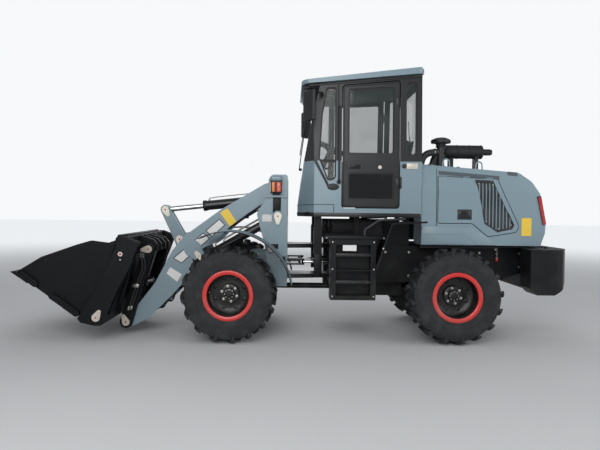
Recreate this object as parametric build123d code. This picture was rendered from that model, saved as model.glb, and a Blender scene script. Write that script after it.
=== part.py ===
"""Articulated compact wheel loader with cab, quick hitch and four-in-one bucket.

Millimetres. The model is drawn with the rear axle at X = 0, front to +X, left to +Y and the
ground at Z = 0. Every piece is then moved by SHIFT, so the origin ends up on the ground at the
middle of the overall length.
"""

import os
from math import atan2, cos, hypot, radians, sin, sqrt

from build123d import *

# Wheels and overall layout
WHEELBASE = 2500
TRACK = 1550
TYRE_R = 530
TYRE_W = 400
TYRE_BASE_R = 486
TYRE_WALL_R = 392
RIM_R = 254
RIM_LIP_R = 274
RIM_WALL = 12
LUGS_PER_SIDE = 16
LUG_W = 52
LUG_SLANT = 34
REAR_OVERHANG = 1312
HUB_R = 105
SPINDLE_R = 45
AXLE_SEAT_Z = TYRE_R + 95
TYRE_GAP_Y = TRACK / 2 - TYRE_W / 2 - 20
PIN_CLEARANCE = 0.05

# Articulation between the two frames
PIVOT_X = WHEELBASE / 2
PIVOT_PIN_R = 40
TONGUE_T = 50
TONGUE_R = 115
LOWER_TONGUE_Z = 670
UPPER_TONGUE_Z = 1035
FORK_T = 35
FORK_GAP = 5
FORK_FOOT_X = PIVOT_X - 160

# Front frame and towers
TOWER_REAR_X = 1866
TOWER_OUT_Y = 500
TOWER_IN_Y = 350
PLATE_T = 20
BOSS_T = 14
FLANGE_Z = 1612
FLANGE_W = 34
ARM_PIVOT = (1975, 1725)
ARM_PIN_R = 35
LIFT_BASE = (1977, 1395)
LIFT_PIN_R = 28
TILT_BASE = (1985, 1610)
TILT_PIN_R = 30
TILT_EAR_Y = 38

# Lift arm and its links, all in side view as (x, z)
ARM_IN_Y = 400
ARM_T = 50
ARM_EYE_R = 85
BUCKET_PIVOT = (3728, 147)
BUCKET_PIN_R = 32
BUCKET_EYE_R = 74
LIFT_EYE = (2860, 885)
ROCKER_PIVOT = (3184, 1097)
ROCKER_TOP = (3370, 1455)
ROCKER_FOOT = (3037, 601)
HITCH_LINK = (3692, 306)
LINK_PIN_R = 28
LINK_EYE_R = 50
LINK_T = 60
ARM_TUBE = (2960, 1110)
ARM_TUBE_R = 70
ROCKER_PIN_R = 32
ROCKER_EAR_Y = 88
ROCKER_T = 22
ROCKER_Y = 42
PIN_HEAD = 8

# Cylinders: radii of barrel, rod and eye, and the neck between the base pin and the barrel
LIFT_CYLINDER = (50, 22, 46, 38)
TILT_CYLINDER = (60, 32, 46, 85)
CLAM_CYLINDER = (29, 14, 30, 34)
STEER_CYLINDER = (32, 16, 32, 56)

# Steering cylinders, as places in plan
STEER_Z = 850
STEER_BASE_X = 700
STEER_BASE_Y = 250
STEER_EYE_X = 1700
STEER_EYE_Y = 250
STEER_EYE_T = 36
STEER_PIN_R = 16
STEER_EAR_R = 42
STEER_EAR_T = 18

# Hitch and bucket
HITCH_TUBE = (3475, 995)
HITCH_CROSS = (3694, 446)
HITCH_GAP = 12
HITCH_TUBE_R = 45
BUCKET_W = 2000
BUCKET_SIDE_T = 16
BUCKET_SHEET_T = 14
POCKET_W = 75
CLAM_PIVOT = (3647, 975)
CLAM_PIN_R = 22
CLAM_CRANK = (3560, 900)
CLAM_BASE = (3905, 290)
BUCKET_TIP_X = 4819

# Cab
CAB_REAR_X = 345
CAB_FRONT_X = 1745
CAB_FLOOR_Z = 1395
CAB_BELT_Z = 2030
CAB_HALF_W = 640
CAB_TOP_HALF_W = CAB_HALF_W - 55
CAB_WALL = 45
CAB_CUT_X = 178
CAB_CUT_Y = 302
CAB_TOP_FRONT_Z = 2915
CAB_TOP_REAR_Z = 3030
ROOF_T = 68
DOOR_REAR_X = 592
DOOR_FRONT_X = 1257
DOOR_SILL_Z = 1494
DOOR_GAP = 12

# Rear body
HOOD_FRONT_X = 335
HOOD_HALF_W = 605
HOOD_WALL = 24
HOOD_BASE_Z = 1085
DECK_Z = 1070
DECK_T = 12
FRAME_HALF_W = 350
FRAME_REAR_X = -980
STEP_HALF_W = 860
SIDE_BOX_IN_Y = 480
SIDE_BOX_X = (882, 1385)
SIDE_BOX_TOP_Z = 1150
PLATFORM_T = 36
ENGINE_Z = 900
ENGINE_TOP_Z = 1760
GEARBOX_X = (470, 880)
TOW_PIN_R = 20
COVER_GAP = 8
HOOD_SPLIT_X = -640
SLAT_T = 9
SLAT_STEP = 38
MUFFLER_Z = 2211
INTAKE_TOP_Z = 2349
SHAFT_R = 34
SHAFT_BALL_R = 26
MUFFLER_R = 82

SHIFT = -(BUCKET_TIP_X - REAR_OVERHANG) / 2
FRONT_AXLE = WHEELBASE


# Helpers

def side_face(points):
    """Face of a side-view outline of (x, z) or (x, z, corner radius) points."""
    wire = FilletPolyline(
        *[(p[0], p[1]) for p in points],
        radius=[p[2] if len(p) > 2 else 0 for p in points],
        close=True,
    )
    return make_face(wire)


def side(points, y0, y1):
    """Plate of a side-view outline between two widths."""
    plane = Plane((0, y1, 0), x_dir=(1, 0, 0), z_dir=(0, -1, 0))
    return extrude(plane * side_face(points), amount=y1 - y0)


def plan(points, z0, z1):
    """Plate of a plan outline of (x, y) or (x, y, corner radius) points between two heights."""
    return Pos(0, 0, z0) * extrude(side_face(points), amount=z1 - z0)


def front(points, x0, x1):
    """Block of a front-view outline of (y, z) points between two places along X."""
    plane = Plane((x0, 0, 0), x_dir=(0, 1, 0), z_dir=(1, 0, 0))
    return extrude(plane * side_face(points), amount=x1 - x0)


def block(x0, x1, y0, y1, z0, z1):
    """Box from corner to corner."""
    return Pos((x0 + x1) / 2, (y0 + y1) / 2, (z0 + z1) / 2) * Box(x1 - x0, y1 - y0, z1 - z0)


def across(point, r, y0, y1):
    """Cylinder along Y at a side-view point."""
    plane = Plane((point[0], y0, point[1]), z_dir=(0, 1, 0))
    return extrude(plane * Circle(r), amount=y1 - y0)


def upright(x, y, r, z0, z1):
    """Cylinder along Z."""
    return Pos(x, y, (z0 + z1) / 2) * Cylinder(r, z1 - z0)


def bar(start, end, r):
    """Round bar between two points in space."""
    path = Vector(*end) - Vector(*start)
    return extrude(Plane(start, z_dir=path) * Circle(r), amount=path.length)


def hull(a, ra, b, rb, y0, y1):
    """Plate round two circles in side view, with straight flanks between them."""
    length = hypot(b[0] - a[0], b[1] - a[1])
    turn = atan2(b[1] - a[1], b[0] - a[0])
    lean = atan2(sqrt(length ** 2 - (ra - rb) ** 2), ra - rb)
    flank = []
    for centre, r, sign in ((a, ra, 1), (b, rb, 1), (b, rb, -1), (a, ra, -1)):
        angle = turn + sign * lean
        flank.append((centre[0] + r * cos(angle), centre[1] + r * sin(angle)))
    return side(flank, y0, y1) + across(a, ra, y0, y1) + across(b, rb, y0, y1)


def both(shape):
    """A piece and its mirror image on the other side of the machine."""
    return Compound(children=[*shape.solids(), *shape.mirror(Plane.XZ).solids()])


def along(a, b, distance):
    """Point on the side-view line from a towards b."""
    length = hypot(b[0] - a[0], b[1] - a[1])
    return (a[0] + (b[0] - a[0]) * distance / length, a[1] + (b[1] - a[1]) * distance / length)


def write(name, shape):
    """Moves a piece to the final origin and writes it."""
    solids = [Pos(SHIFT, 0, 0) * solid for solid in shape.solids()]
    export_step(Compound(children=solids) if len(solids) > 1 else solids[0], f"parts/{name}.step")


# Wheels

def tyre_lugs():
    """Slanted tread bars of both shoulders, cut off by the rounded tread outline."""
    half = TYRE_W / 2
    crown = [
        (0, TYRE_R), (half * 0.62, TYRE_R), (half * 0.96, TYRE_R - 22), (half, TYRE_BASE_R - 30),
        (half, TYRE_WALL_R), (0, TYRE_WALL_R),
    ]
    outline = crown + [(-y, r) for y, r in reversed(crown) if y]
    envelope = revolve(Plane.YZ * make_face(Polyline(*outline, close=True)), Axis.Y)
    lug = Plane.XY * make_face(Polyline(
        (-LUG_W / 2, -12), (LUG_W / 2, -12),
        (LUG_W / 2 + LUG_SLANT * 2, half), (-LUG_W / 2 + LUG_SLANT * 2, half), close=True,
    ))
    bar_lug = Pos(0, 0, TYRE_WALL_R + 20) * extrude(lug, amount=TYRE_R - TYRE_WALL_R)
    pitch = 360 / LUGS_PER_SIDE
    lugs = [Rot(0, pitch * i, 0) * bar_lug for i in range(LUGS_PER_SIDE)]
    other = bar_lug.mirror(Plane.XZ)
    lugs += [Rot(0, pitch * (i + 0.5), 0) * other for i in range(LUGS_PER_SIDE)]
    return [lug_part & envelope for lug_part in lugs]


def tyre():
    """Tyre about the Y axis with its tread bars."""
    half = TYRE_W / 2
    seat = half - 35
    section = [
        (-seat, RIM_R), (-seat, RIM_LIP_R + 8), (-half, TYRE_WALL_R), (-half * 0.94, TYRE_BASE_R - 10),
        (-half * 0.7, TYRE_BASE_R), (half * 0.7, TYRE_BASE_R), (half * 0.94, TYRE_BASE_R - 10),
        (half, TYRE_WALL_R), (seat, RIM_LIP_R + 8), (seat, RIM_R),
    ]
    body = revolve(Plane.YZ * make_face(Polyline(*section, close=True)), Axis.Y)
    return body + tyre_lugs()


def rim():
    """Rim with its outer side to +Y: barrel, lips, deep disc and hub."""
    half = TYRE_W / 2 - 35
    inner = RIM_R - RIM_WALL
    disc = -70
    section = [
        (-half, RIM_R), (half, RIM_R), (half + 4, RIM_LIP_R), (half + 16, RIM_LIP_R),
        (half + 16, inner), (disc + 16, inner - 14), (disc + 16, HUB_R), (disc + 80, HUB_R),
        (disc + 80, HUB_R * 0.62), (disc + 106, HUB_R * 0.55), (disc + 106, 0), (disc + 60, 0),
        (disc + 60, SPINDLE_R + PIN_CLEARANCE), (disc, SPINDLE_R + PIN_CLEARANCE),
        (disc, inner - 14), (-half - 16, inner), (-half - 16, RIM_LIP_R), (-half - 4, RIM_LIP_R),
    ]
    return revolve(Plane.YZ * make_face(Polyline(*section, close=True)), Axis.Y)


def axle(x, nose, reach):
    """Drive axle: banjo, tubes, brake drums, spindles, and the drive shaft towards the pivot."""
    centre = TRACK / 2
    disc = centre - 70
    half = [
        (0, 0), (0, 175), (70, 165), (150, 95), (230, 78), (disc - 110, 78), (disc - 110, 120),
        (disc - 12, 120), (disc - 12, SPINDLE_R), (disc + 50, SPINDLE_R), (disc + 50, 0),
    ]
    body = revolve(Plane.YZ * make_face(Polyline(*half, close=True)), Axis.Y)
    body = Pos(x, 0, TYRE_R) * (body + body.mirror(Plane.XZ))
    neck = bar((x + nose * 100, 0, TYRE_R), (x + nose * 300, 0, TYRE_R), 80)
    neck += bar((x + nose * 290, 0, TYRE_R), (x + nose * reach, 0, TYRE_R), SHAFT_R)
    pads = [block(x - 60, x + 60, y - 45, y + 45, TYRE_R, AXLE_SEAT_Z) for y in (-295, 295)]
    return body + neck + pads


def place_wheels():
    """Writes the four tyres and rims, with the outer side of each rim away from the machine."""
    rubber = tyre()
    steel = rim()
    for end, x in (("front", FRONT_AXLE), ("rear", 0)):
        for hand, sign in (("left", 1), ("right", -1)):
            turned = Pos(x, sign * TRACK / 2, TYRE_R)
            tyre_part = rubber if sign > 0 else rubber.mirror(Plane.XZ)
            rim_part = steel if sign > 0 else steel.mirror(Plane.XZ)
            write(f"tyre_{end}_{hand}", turned * tyre_part)
            write(f"rim_{end}_{hand}", turned * rim_part)


# Front frame

def tower_outline():
    """Side view of one tower plate."""
    rear = TOWER_REAR_X
    top = ARM_PIVOT[1] + 150
    return [
        (rear, AXLE_SEAT_Z - 45), (rear, top, 30), (ARM_PIVOT[0] + 75, top, 50),
        (ARM_PIVOT[0] + 112, top - 55, 20), (ARM_PIVOT[0] + 118, ARM_PIVOT[1] - 90, 10),
        (LIFT_BASE[0] + 246, LIFT_BASE[1] + 27, 60), (LIFT_BASE[0] + 152, LIFT_BASE[1] - 333, 20),
        (LIFT_BASE[0] + 90, AXLE_SEAT_Z + 60, 60), (LIFT_BASE[0] + 40, AXLE_SEAT_Z - 45),
    ]


def front_frame():
    """Towers, base box over the axle, tongues of the pivot and the lugs for the cylinders."""
    parts = []
    for sign in (1, -1):
        for y in (TOWER_IN_Y, TOWER_OUT_Y - PLATE_T):
            a, b = sorted((sign * y, sign * (y + PLATE_T)))
            parts.append(side(tower_outline(), a, b))
        a, b = sorted((sign * TOWER_IN_Y, sign * TOWER_OUT_Y))
        parts.append(across(ARM_PIVOT, ARM_PIN_R, a - 6, b + 6))
        parts.append(across(LIFT_BASE, LIFT_PIN_R, a - 6, b + 6))
        rail = [
            (TOWER_REAR_X, AXLE_SEAT_Z), (FRONT_AXLE + 190, AXLE_SEAT_Z),
            (FRONT_AXLE + 190, AXLE_SEAT_Z + 150, 60), (FRONT_AXLE - 190, AXLE_SEAT_Z + 330, 90),
            (TOWER_REAR_X, AXLE_SEAT_Z + 330),
        ]
        a, b = sorted((sign * TOWER_IN_Y, sign * (TOWER_IN_Y - PLATE_T)))
        parts.append(side(rail, a, b))
        a, b = sorted((sign * (TOWER_OUT_Y - PLATE_T), sign * (TOWER_IN_Y + PLATE_T)))
        parts.append(block(TOWER_REAR_X, LIFT_BASE[0] + 40, a, b, AXLE_SEAT_Z - 45, AXLE_SEAT_Z - 25))
        out = TOWER_OUT_Y
        for point, r in ((ARM_PIVOT, ARM_EYE_R), (LIFT_BASE, LIFT_CYLINDER[2] + 16)):
            a, b = sorted((sign * (out - 2), sign * (out + BOSS_T)))
            parts.append(across(point, r, a, b))
        a, b = sorted((sign * (out - 2), sign * (out + FLANGE_W)))
        parts.append(block(TOWER_REAR_X, LIFT_BASE[0] + 150, a, b, FLANGE_Z, FLANGE_Z + PLATE_T))
    inner = TOWER_IN_Y - PLATE_T
    wide = TOWER_OUT_Y
    nose = FRONT_AXLE + 190
    low = AXLE_SEAT_Z - 45
    parts.append(block(TOWER_REAR_X, TOWER_REAR_X + PLATE_T, -wide, wide, low, LIFT_BASE[1]))
    parts.append(block(TOWER_REAR_X, nose, -inner, inner, AXLE_SEAT_Z, AXLE_SEAT_Z + PLATE_T))
    parts.append(block(nose - PLATE_T, nose, -inner, inner, AXLE_SEAT_Z, AXLE_SEAT_Z + 150))
    beam_z = TILT_BASE[1] - 160
    beam_x = TOWER_REAR_X + 170
    parts.append(block(TOWER_REAR_X, beam_x, -TOWER_IN_Y, TOWER_IN_Y, beam_z, beam_z + 60))
    for y in (-TILT_EAR_Y - PLATE_T, TILT_EAR_Y):
        parts.append(hull(TILT_BASE, 48, (TILT_BASE[0] - 20, beam_z + 45), 55, y, y + PLATE_T))
    parts.append(across(TILT_BASE, TILT_PIN_R, -TILT_EAR_Y - PLATE_T - 4, TILT_EAR_Y + PLATE_T + 4))
    for z in (LOWER_TONGUE_Z, UPPER_TONGUE_Z):
        tongue = plan(
            [(TOWER_REAR_X, -230), (TOWER_REAR_X, 230), (PIVOT_X + 60, TONGUE_R), (PIVOT_X, TONGUE_R),
             (PIVOT_X, -TONGUE_R), (PIVOT_X + 60, -TONGUE_R)], z - TONGUE_T / 2, z + TONGUE_T / 2)
        tongue += upright(PIVOT_X, 0, TONGUE_R, z - TONGUE_T / 2, z + TONGUE_T / 2)
        hole = upright(PIVOT_X, 0, PIVOT_PIN_R + PIN_CLEARANCE, z - TONGUE_T, z + TONGUE_T)
        parts.append(tongue - hole)
    for sign in (1, -1):
        for z0, z1 in steer_ear_levels():
            y = sign * STEER_EYE_Y
            ear = upright(STEER_EYE_X, y, STEER_EAR_R, z0, z1)
            ear += block(STEER_EYE_X, TOWER_REAR_X + 5, y - STEER_EAR_R, y + STEER_EAR_R, z0, z1)
            parts.append(ear)
    body = parts[0] + parts[1:]
    return body - across((FRONT_AXLE, TYRE_R), 185, -210, 210)


def steer_ear_levels():
    """Heights of the two ears above and below a steering cylinder's eye."""
    low = STEER_Z - STEER_EYE_T / 2 - 2
    high = STEER_Z + STEER_EYE_T / 2 + 2
    return ((low - STEER_EAR_T, low), (high, high + STEER_EAR_T))


def front_fenders():
    """Curved mudguards of the front wheels with their stays to the frame."""
    outer, inner = TYRE_R + 170, TYRE_R + 160
    start, end = 62, 172
    y0, y1 = TRACK / 2 - TYRE_W / 2 - 10, TRACK / 2 + TYRE_W / 2 - 15
    centre = (FRONT_AXLE, TYRE_R)
    ring = across(centre, outer, y0, y1) - across(centre, inner, y0, y1)
    wedge = [centre]
    reach = outer * 2
    for angle in (start, (start + end) / 2, end):
        turn = radians(angle)
        wedge.append((centre[0] + reach * cos(turn), centre[1] + reach * sin(turn)))
    guard = ring & side(wedge, y0, y1)
    stay = block(TOWER_REAR_X + 20, TOWER_REAR_X + 90, TOWER_OUT_Y, y0 + 30, TYRE_R + 340, TYRE_R + 400)
    guard += stay - across(centre, outer - 2, y0 - 200, y1)
    return both(guard)


def front_lamps():
    """Work lamps and turn signals on the towers."""
    x, z = LIFT_BASE[0], ARM_PIVOT[1]
    y = TOWER_OUT_Y + BOSS_T
    bracket = block(x - 44, x + 63, y, y + 16, FLANGE_Z + PLATE_T, z + 100)
    lamp = block(x - 47, x + 88, y + 16, y + 100, z - 70, z + 135)
    work = across((x + 82, 1012), 45, TOWER_OUT_Y, TOWER_OUT_Y + 60)
    return Compound(children=[*both(bracket + lamp).solids(), *both(work).solids()])


# Lift arm and links

def lift_arm():
    """Two bent plates joined by a cross tube, with the eyes and the rocker bracket."""
    c, a = ARM_PIVOT, BUCKET_PIVOT
    outline = [
        (2135, 1768, 60), (2644, 1461, 300), (3077, 1142, 200), (3199, 984, 100), (3402, 600, 200),
        (3634, 297, 80), (3772, 200, 40), (3790, 110, 60), (3690, 74, 60), (3484, 185, 200),
        (3226, 438, 300), (3066, 614, 200), (2830, 953, 300), (2535, 1269, 300), (2202, 1514, 200),
        (1930, 1630, 70), (1885, 1740, 70), (1960, 1812, 70),
    ]
    y0, y1 = ARM_IN_Y, ARM_IN_Y + ARM_T
    arm = side(outline, y0, y1)
    arm -= across(c, ARM_PIN_R + PIN_CLEARANCE, y0 - 1, y1 + 1)
    arm -= across(a, BUCKET_PIN_R + PIN_CLEARANCE, y0 - 1, y1 + 1)
    arm -= hull(LIFT_EYE, 108, along(LIFT_EYE, LIFT_BASE, 270), 86, y0 - 1, y1 + 1)
    for y in (y0 - BOSS_T, y1):
        arm += hull(LIFT_EYE, 50, (LIFT_EYE[0] + 105, LIFT_EYE[1] + 120), 100, y, y + BOSS_T)
    collar = across(c, ARM_EYE_R - 10, y0 - BOSS_T, y1 + BOSS_T) + across(a, 58, y0 - 6, y1 + 6)
    collar -= across(c, ARM_PIN_R + PIN_CLEARANCE, y0 - 99, y1 + 99)
    arm += collar - across(a, BUCKET_PIN_R + PIN_CLEARANCE, y0 - 99, y1 + 99)
    arms = arm + arm.mirror(Plane.XZ)
    arms += across(ARM_TUBE, ARM_TUBE_R, -y0, y0)
    for y in (-ROCKER_EAR_Y - PLATE_T, ROCKER_EAR_Y):
        lug = hull(ROCKER_PIVOT, 62, ARM_TUBE, 90, y, y + PLATE_T)
        lug -= across(ROCKER_PIVOT, ROCKER_PIN_R + PIN_CLEARANCE, y - 1, y + PLATE_T + 1)
        arms += lug
    return arms


def rocker_plate(y):
    """One cranked plate of the rocker."""
    plate = hull(ROCKER_TOP, 58, ROCKER_PIVOT, 75, y, y + ROCKER_T)
    plate += hull(ROCKER_PIVOT, 75, ROCKER_FOOT, 55, y, y + ROCKER_T)
    return plate


def rocker():
    """Two cranked plates on a hub."""
    body = rocker_plate(ROCKER_Y) + rocker_plate(-ROCKER_Y - ROCKER_T)
    body += across(ROCKER_PIVOT, 60, -ROCKER_Y, ROCKER_Y)
    body -= across(ROCKER_PIVOT, ROCKER_PIN_R + PIN_CLEARANCE, -200, 200)
    body -= across(ROCKER_FOOT, LINK_PIN_R + PIN_CLEARANCE, -200, 200)
    return body


def tilt_link():
    """Straight link from the rocker's foot to the hitch."""
    half = LINK_T / 2
    body = hull(ROCKER_FOOT, LINK_EYE_R, HITCH_LINK, LINK_EYE_R, -half, half)
    body -= across(ROCKER_FOOT, LINK_PIN_R + PIN_CLEARANCE, -half - 1, half + 1)
    body -= across(HITCH_LINK, LINK_PIN_R, -half - 1, half + 1)
    return body


def cylinder_parts(base, eye, sizes, eye_w, pin_r, y, shown, travel_in):
    """Barrel and rod of a cylinder between two side-view points, in the plane of width y.

    sizes holds the radii of barrel, rod and eye and the length of the neck behind the barrel.
    shown is the bare length of rod, and travel_in is how far the rod can still go in.
    """
    barrel_r, rod_r, eye_r, neck = sizes
    length = hypot(eye[0] - base[0], eye[1] - base[1])

    def run(start, end, r):
        a, b = along(base, eye, start), along(base, eye, end)
        return bar((a[0], y, a[1]), (b[0], y, b[1]), r)

    head = length - eye_r - shown
    barrel = run(neck, head, barrel_r) + run(0, neck + 1, eye_w / 2)
    barrel += across(base, eye_r, y - eye_w / 2, y + eye_w / 2)
    barrel -= run(neck + 25, length, rod_r + PIN_CLEARANCE)
    barrel -= across(base, pin_r + PIN_CLEARANCE, y - barrel_r - 1, y + barrel_r + 1)
    rod = run(neck + 40 + travel_in, length, rod_r)
    rod += across(eye, eye_r, y - eye_w / 2, y + eye_w / 2)
    rod -= across(eye, pin_r, y - eye_w, y + eye_w)
    return barrel, rod


# Hitch and bucket

def hitch():
    """Quick hitch: ears round the arm ends, top tube, lower tube and the ears of the link."""
    parts = []
    y_in, y_out = ARM_IN_Y - HITCH_GAP - PLATE_T, ARM_IN_Y + ARM_T + HITCH_GAP
    for y in (y_in, y_out, -y_in - PLATE_T, -y_out - PLATE_T):
        ear = hull(BUCKET_PIVOT, BUCKET_EYE_R, HITCH_TUBE, 62, y, y + PLATE_T)
        ear -= across(BUCKET_PIVOT, BUCKET_PIN_R + PIN_CLEARANCE, y - 1, y + PLATE_T + 1)
        parts.append(ear)
    parts.append(across(HITCH_TUBE, HITCH_TUBE_R, -y_out - PLATE_T, y_out + PLATE_T))
    parts.append(across(HITCH_CROSS, 30, -y_in, y_in))
    half = LINK_T / 2 + 4
    for y in (-half - PLATE_T, half):
        parts.append(hull(HITCH_LINK, LINK_EYE_R, HITCH_CROSS, 48, y, y + PLATE_T))
    body = parts[0] + parts[1:]
    return body - across(HITCH_LINK, LINK_PIN_R, -200, 200)


# Side outline of the back part of the bucket
BACK_OUTLINE = [
    (3684, 1162), (3609, 1162), (3446, 1098), (3544, 841), (3682, 577), (3780, 344),
    (3800, 243, 30), (3855, 202, 30), (3920, 201, 30), (4071, 234), (4104, 280),
    (3875, 635), (3796, 807), (3688, 1071),
]
# Side outline of the clam, and of the three wear plates on its lower edge
CLAM_OUTLINE = [
    (3640, 1040, 30), (3720, 1085, 30), (3971, 1116, 80), (4122, 1071, 40), (4503, 935, 60),
    (4753, 781), (4651, 666), (4407, 494), (4125, 290), (3990, 420, 60), (3820, 650, 60),
    (3740, 860, 60), (3650, 900, 30),
]
WEAR_PLATES = ((4690, 745, 4560, 645), (4380, 515, 4250, 425), (4240, 415, 4120, 330))


def sheet(points, t, y0, y1):
    """Bent sheet whose outer face follows side-view points, with its thickness to their left."""
    path = Polyline(*points)
    back = []
    count = len(points)
    for i, (x, z) in enumerate(points):
        ahead = points[min(i + 1, count - 1)]
        behind = points[max(i - 1, 0)]
        d1 = Vector(x - behind[0], z - behind[1]) if i else None
        d2 = Vector(ahead[0] - x, ahead[1] - z) if i < count - 1 else None
        n1 = Vector(-d1.Y, d1.X).normalized() if d1 else None
        n2 = Vector(-d2.Y, d2.X).normalized() if d2 else None
        n = (n1 or n2) + (n2 or n1)
        n = n.normalized()
        lean = n.dot(n1 or n2)
        back.append((x + n.X * t / lean, z + n.Y * t / lean))
    return side([*points, *reversed(back)], y0, y1)


def bucket_back():
    """Back part of the bucket: rear sheet, floor, side pockets and hooks for the hitch."""
    half = BUCKET_W / 2
    inner = half - BUCKET_SIDE_T - POCKET_W
    rear = [(3790, 300), (3780, 344), (3700, 577), (3616, 841), (3600, 1150), (3684, 1155)]
    parts = [sheet(list(reversed(rear)), BUCKET_SHEET_T, -inner, inner)]
    floor = [(3790, 310), (3800, 243), (3855, 202), (3920, 201), (4071, 234), (4100, 274)]
    parts.append(sheet(floor, BUCKET_SHEET_T, -half, half))
    for sign in (1, -1):
        a, b = sorted((sign * half, sign * (half - BUCKET_SIDE_T)))
        parts.append(side(BACK_OUTLINE, a, b))
        a, b = sorted((sign * inner, sign * (inner - BUCKET_SIDE_T)))
        parts.append(side(BACK_OUTLINE, a, b))
        a, b = sorted((sign * (inner - BUCKET_SIDE_T), sign * half))
        parts.append(across(CLAM_PIVOT, CLAM_PIN_R, a, b))
        parts.append(across(CLAM_BASE, CLAM_PIN_R - 4, a, b))
    tube_x, tube_z = HITCH_TUBE
    hook_side = [
        (3600, 1150), (tube_x - 29, tube_z + 103, 30), (tube_x - 75, tube_z + 45, 30),
        (tube_x - 75, tube_z - 35), HITCH_TUBE, (tube_x + 55, tube_z - 35), (3612, tube_z - 35),
    ]
    for y in (-330, 300, -130, 100):
        hook = side(hook_side, y, y + 30)
        hook -= across(HITCH_TUBE, HITCH_TUBE_R, y - 1, y + 31)
        parts.append(hook)
    return parts[0] + parts[1:]


def clam():
    """Clam of the bucket: side plates with their cranks, floor sheet and cutting edge."""
    half = BUCKET_W / 2
    lane = half - BUCKET_SIDE_T - POCKET_W / 2
    parts = []
    for sign in (1, -1):
        a, b = sorted((sign * (lane - 10), sign * (lane + 10)))
        plate = side(CLAM_OUTLINE, a, b) + across(CLAM_PIVOT, 58, a, b)
        plate -= across(CLAM_PIVOT, CLAM_PIN_R + PIN_CLEARANCE, a - 1, b + 1)
        parts.append(plate)
        for y0, y1 in ((lane - 29, lane - 17), (lane + 17, lane + 29)):
            a, b = sorted((sign * y0, sign * y1))
            crank = hull(CLAM_PIVOT, 50, CLAM_CRANK, 34, a, b)
            crank -= across(CLAM_PIVOT, CLAM_PIN_R + PIN_CLEARANCE, a - 1, b + 1)
            parts.append(crank)
        a, b = sorted((sign * (lane - 29), sign * (lane + 29)))
        collar = across(CLAM_PIVOT, 40, a, b)
        parts.append(collar - across(CLAM_PIVOT, CLAM_PIN_R + PIN_CLEARANCE, a, b))
        for x0, z0, x1, z1 in WEAR_PLATES:
            a, b = sorted((sign * (lane - 2), sign * (half - 6)))
            parts.append(hull((x0, z0), 34, (x1, z1), 34, a, b))
    floor = [(4125, 290), (4407, 494), (4651, 666), (4753, 740)]
    parts.append(sheet(floor, BUCKET_SHEET_T, -lane, lane))
    parts.append(side([(4636, 652), (BUCKET_TIP_X, 776), (4753, 781), (4648, 700)], -half, half))
    return parts[0] + parts[1:]


# Rear frame and its load

def rear_frame():
    """Side plates, cross members and the forks of the pivot with their pins."""
    parts = []
    front_x = FORK_FOOT_X
    outline = [
        (front_x, LOWER_TONGUE_Z - 70), (front_x, UPPER_TONGUE_Z + 65), (500, DECK_Z - DECK_T),
        (FRAME_REAR_X, DECK_Z - DECK_T), (FRAME_REAR_X, 760), (-500, AXLE_SEAT_Z), (500, AXLE_SEAT_Z),
    ]
    for sign in (1, -1):
        a, b = sorted((sign * FRAME_HALF_W, sign * (FRAME_HALF_W - PLATE_T)))
        parts.append(side(outline, a, b))
    w = FRAME_HALF_W
    parts.append(block(front_x - PLATE_T, front_x, -w, w, LOWER_TONGUE_Z - 70, UPPER_TONGUE_Z + 65))
    parts.append(block(FRAME_REAR_X, FRAME_REAR_X + PLATE_T, -w, w, 760, DECK_Z - DECK_T))
    for x in (-420, 260):
        parts.append(block(x, x + 60, -w, w, AXLE_SEAT_Z, AXLE_SEAT_Z + 60))
    for x in (-760, -160):
        parts.append(block(x, x + 80, -w, w, ENGINE_Z - 60, ENGINE_Z))
    deck = block(FRAME_REAR_X, HOOD_FRONT_X, -TYRE_GAP_Y, TYRE_GAP_Y, DECK_Z - DECK_T, DECK_Z)
    deck -= block(-860, 160, -280, 280, DECK_Z - 50, DECK_Z + 50)
    parts.append(deck)
    for z in (LOWER_TONGUE_Z, UPPER_TONGUE_Z):
        for z0 in (z - TONGUE_T / 2 - FORK_GAP - FORK_T, z + TONGUE_T / 2 + FORK_GAP):
            fork = plan(
                [(front_x, -220), (front_x, 220), (PIVOT_X, TONGUE_R), (PIVOT_X, -TONGUE_R)],
                z0, z0 + FORK_T)
            parts.append(fork + upright(PIVOT_X, 0, TONGUE_R, z0, z0 + FORK_T))
        reach = TONGUE_T / 2 + FORK_GAP + FORK_T + 8
        parts.append(upright(PIVOT_X, 0, PIVOT_PIN_R, z - reach, z + reach))
    for sign in (1, -1):
        for z0, z1 in steer_ear_levels():
            ear = upright(STEER_BASE_X, sign * STEER_BASE_Y, STEER_EAR_R, z0, z1)
            a, b = sorted((sign * (w - PLATE_T), sign * STEER_BASE_Y))
            ear += block(STEER_BASE_X - STEER_EAR_R, STEER_BASE_X + STEER_EAR_R, a, b, z0, z1)
            parts.append(ear)
        pin = upright(STEER_BASE_X, sign * STEER_BASE_Y, STEER_PIN_R, STEER_Z - 40, STEER_Z + 40)
        parts.append(pin)
    for sign in (1, -1):
        for x in (420, 1010):
            a, b = sorted((sign * (w - 70), sign * (w - PLATE_T)))
            parts.append(block(x, x + 60, a, b, DECK_Z - 200, CAB_FLOOR_Z))
        for x in (SIDE_BOX_X[0] + 18, SIDE_BOX_X[0] + 128):
            a, b = sorted((sign * (w - PLATE_T), sign * SIDE_BOX_IN_Y))
            parts.append(block(x, x + 50, a, b, SIDE_BOX_TOP_Z - 150, SIDE_BOX_TOP_Z - 90))
    body = parts[0] + parts[1:]
    for sign in (1, -1):
        a, b = sorted((sign * 105, sign * (w + 10)))
        body -= block(front_x - 230, front_x + 10, a, b, STEER_Z - 48, STEER_Z + 48)
    return body


def engine_block():
    """The closed engine as one plain block."""
    return block(-780, 60, -250, 250, ENGINE_Z, ENGINE_TOP_Z)


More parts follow.
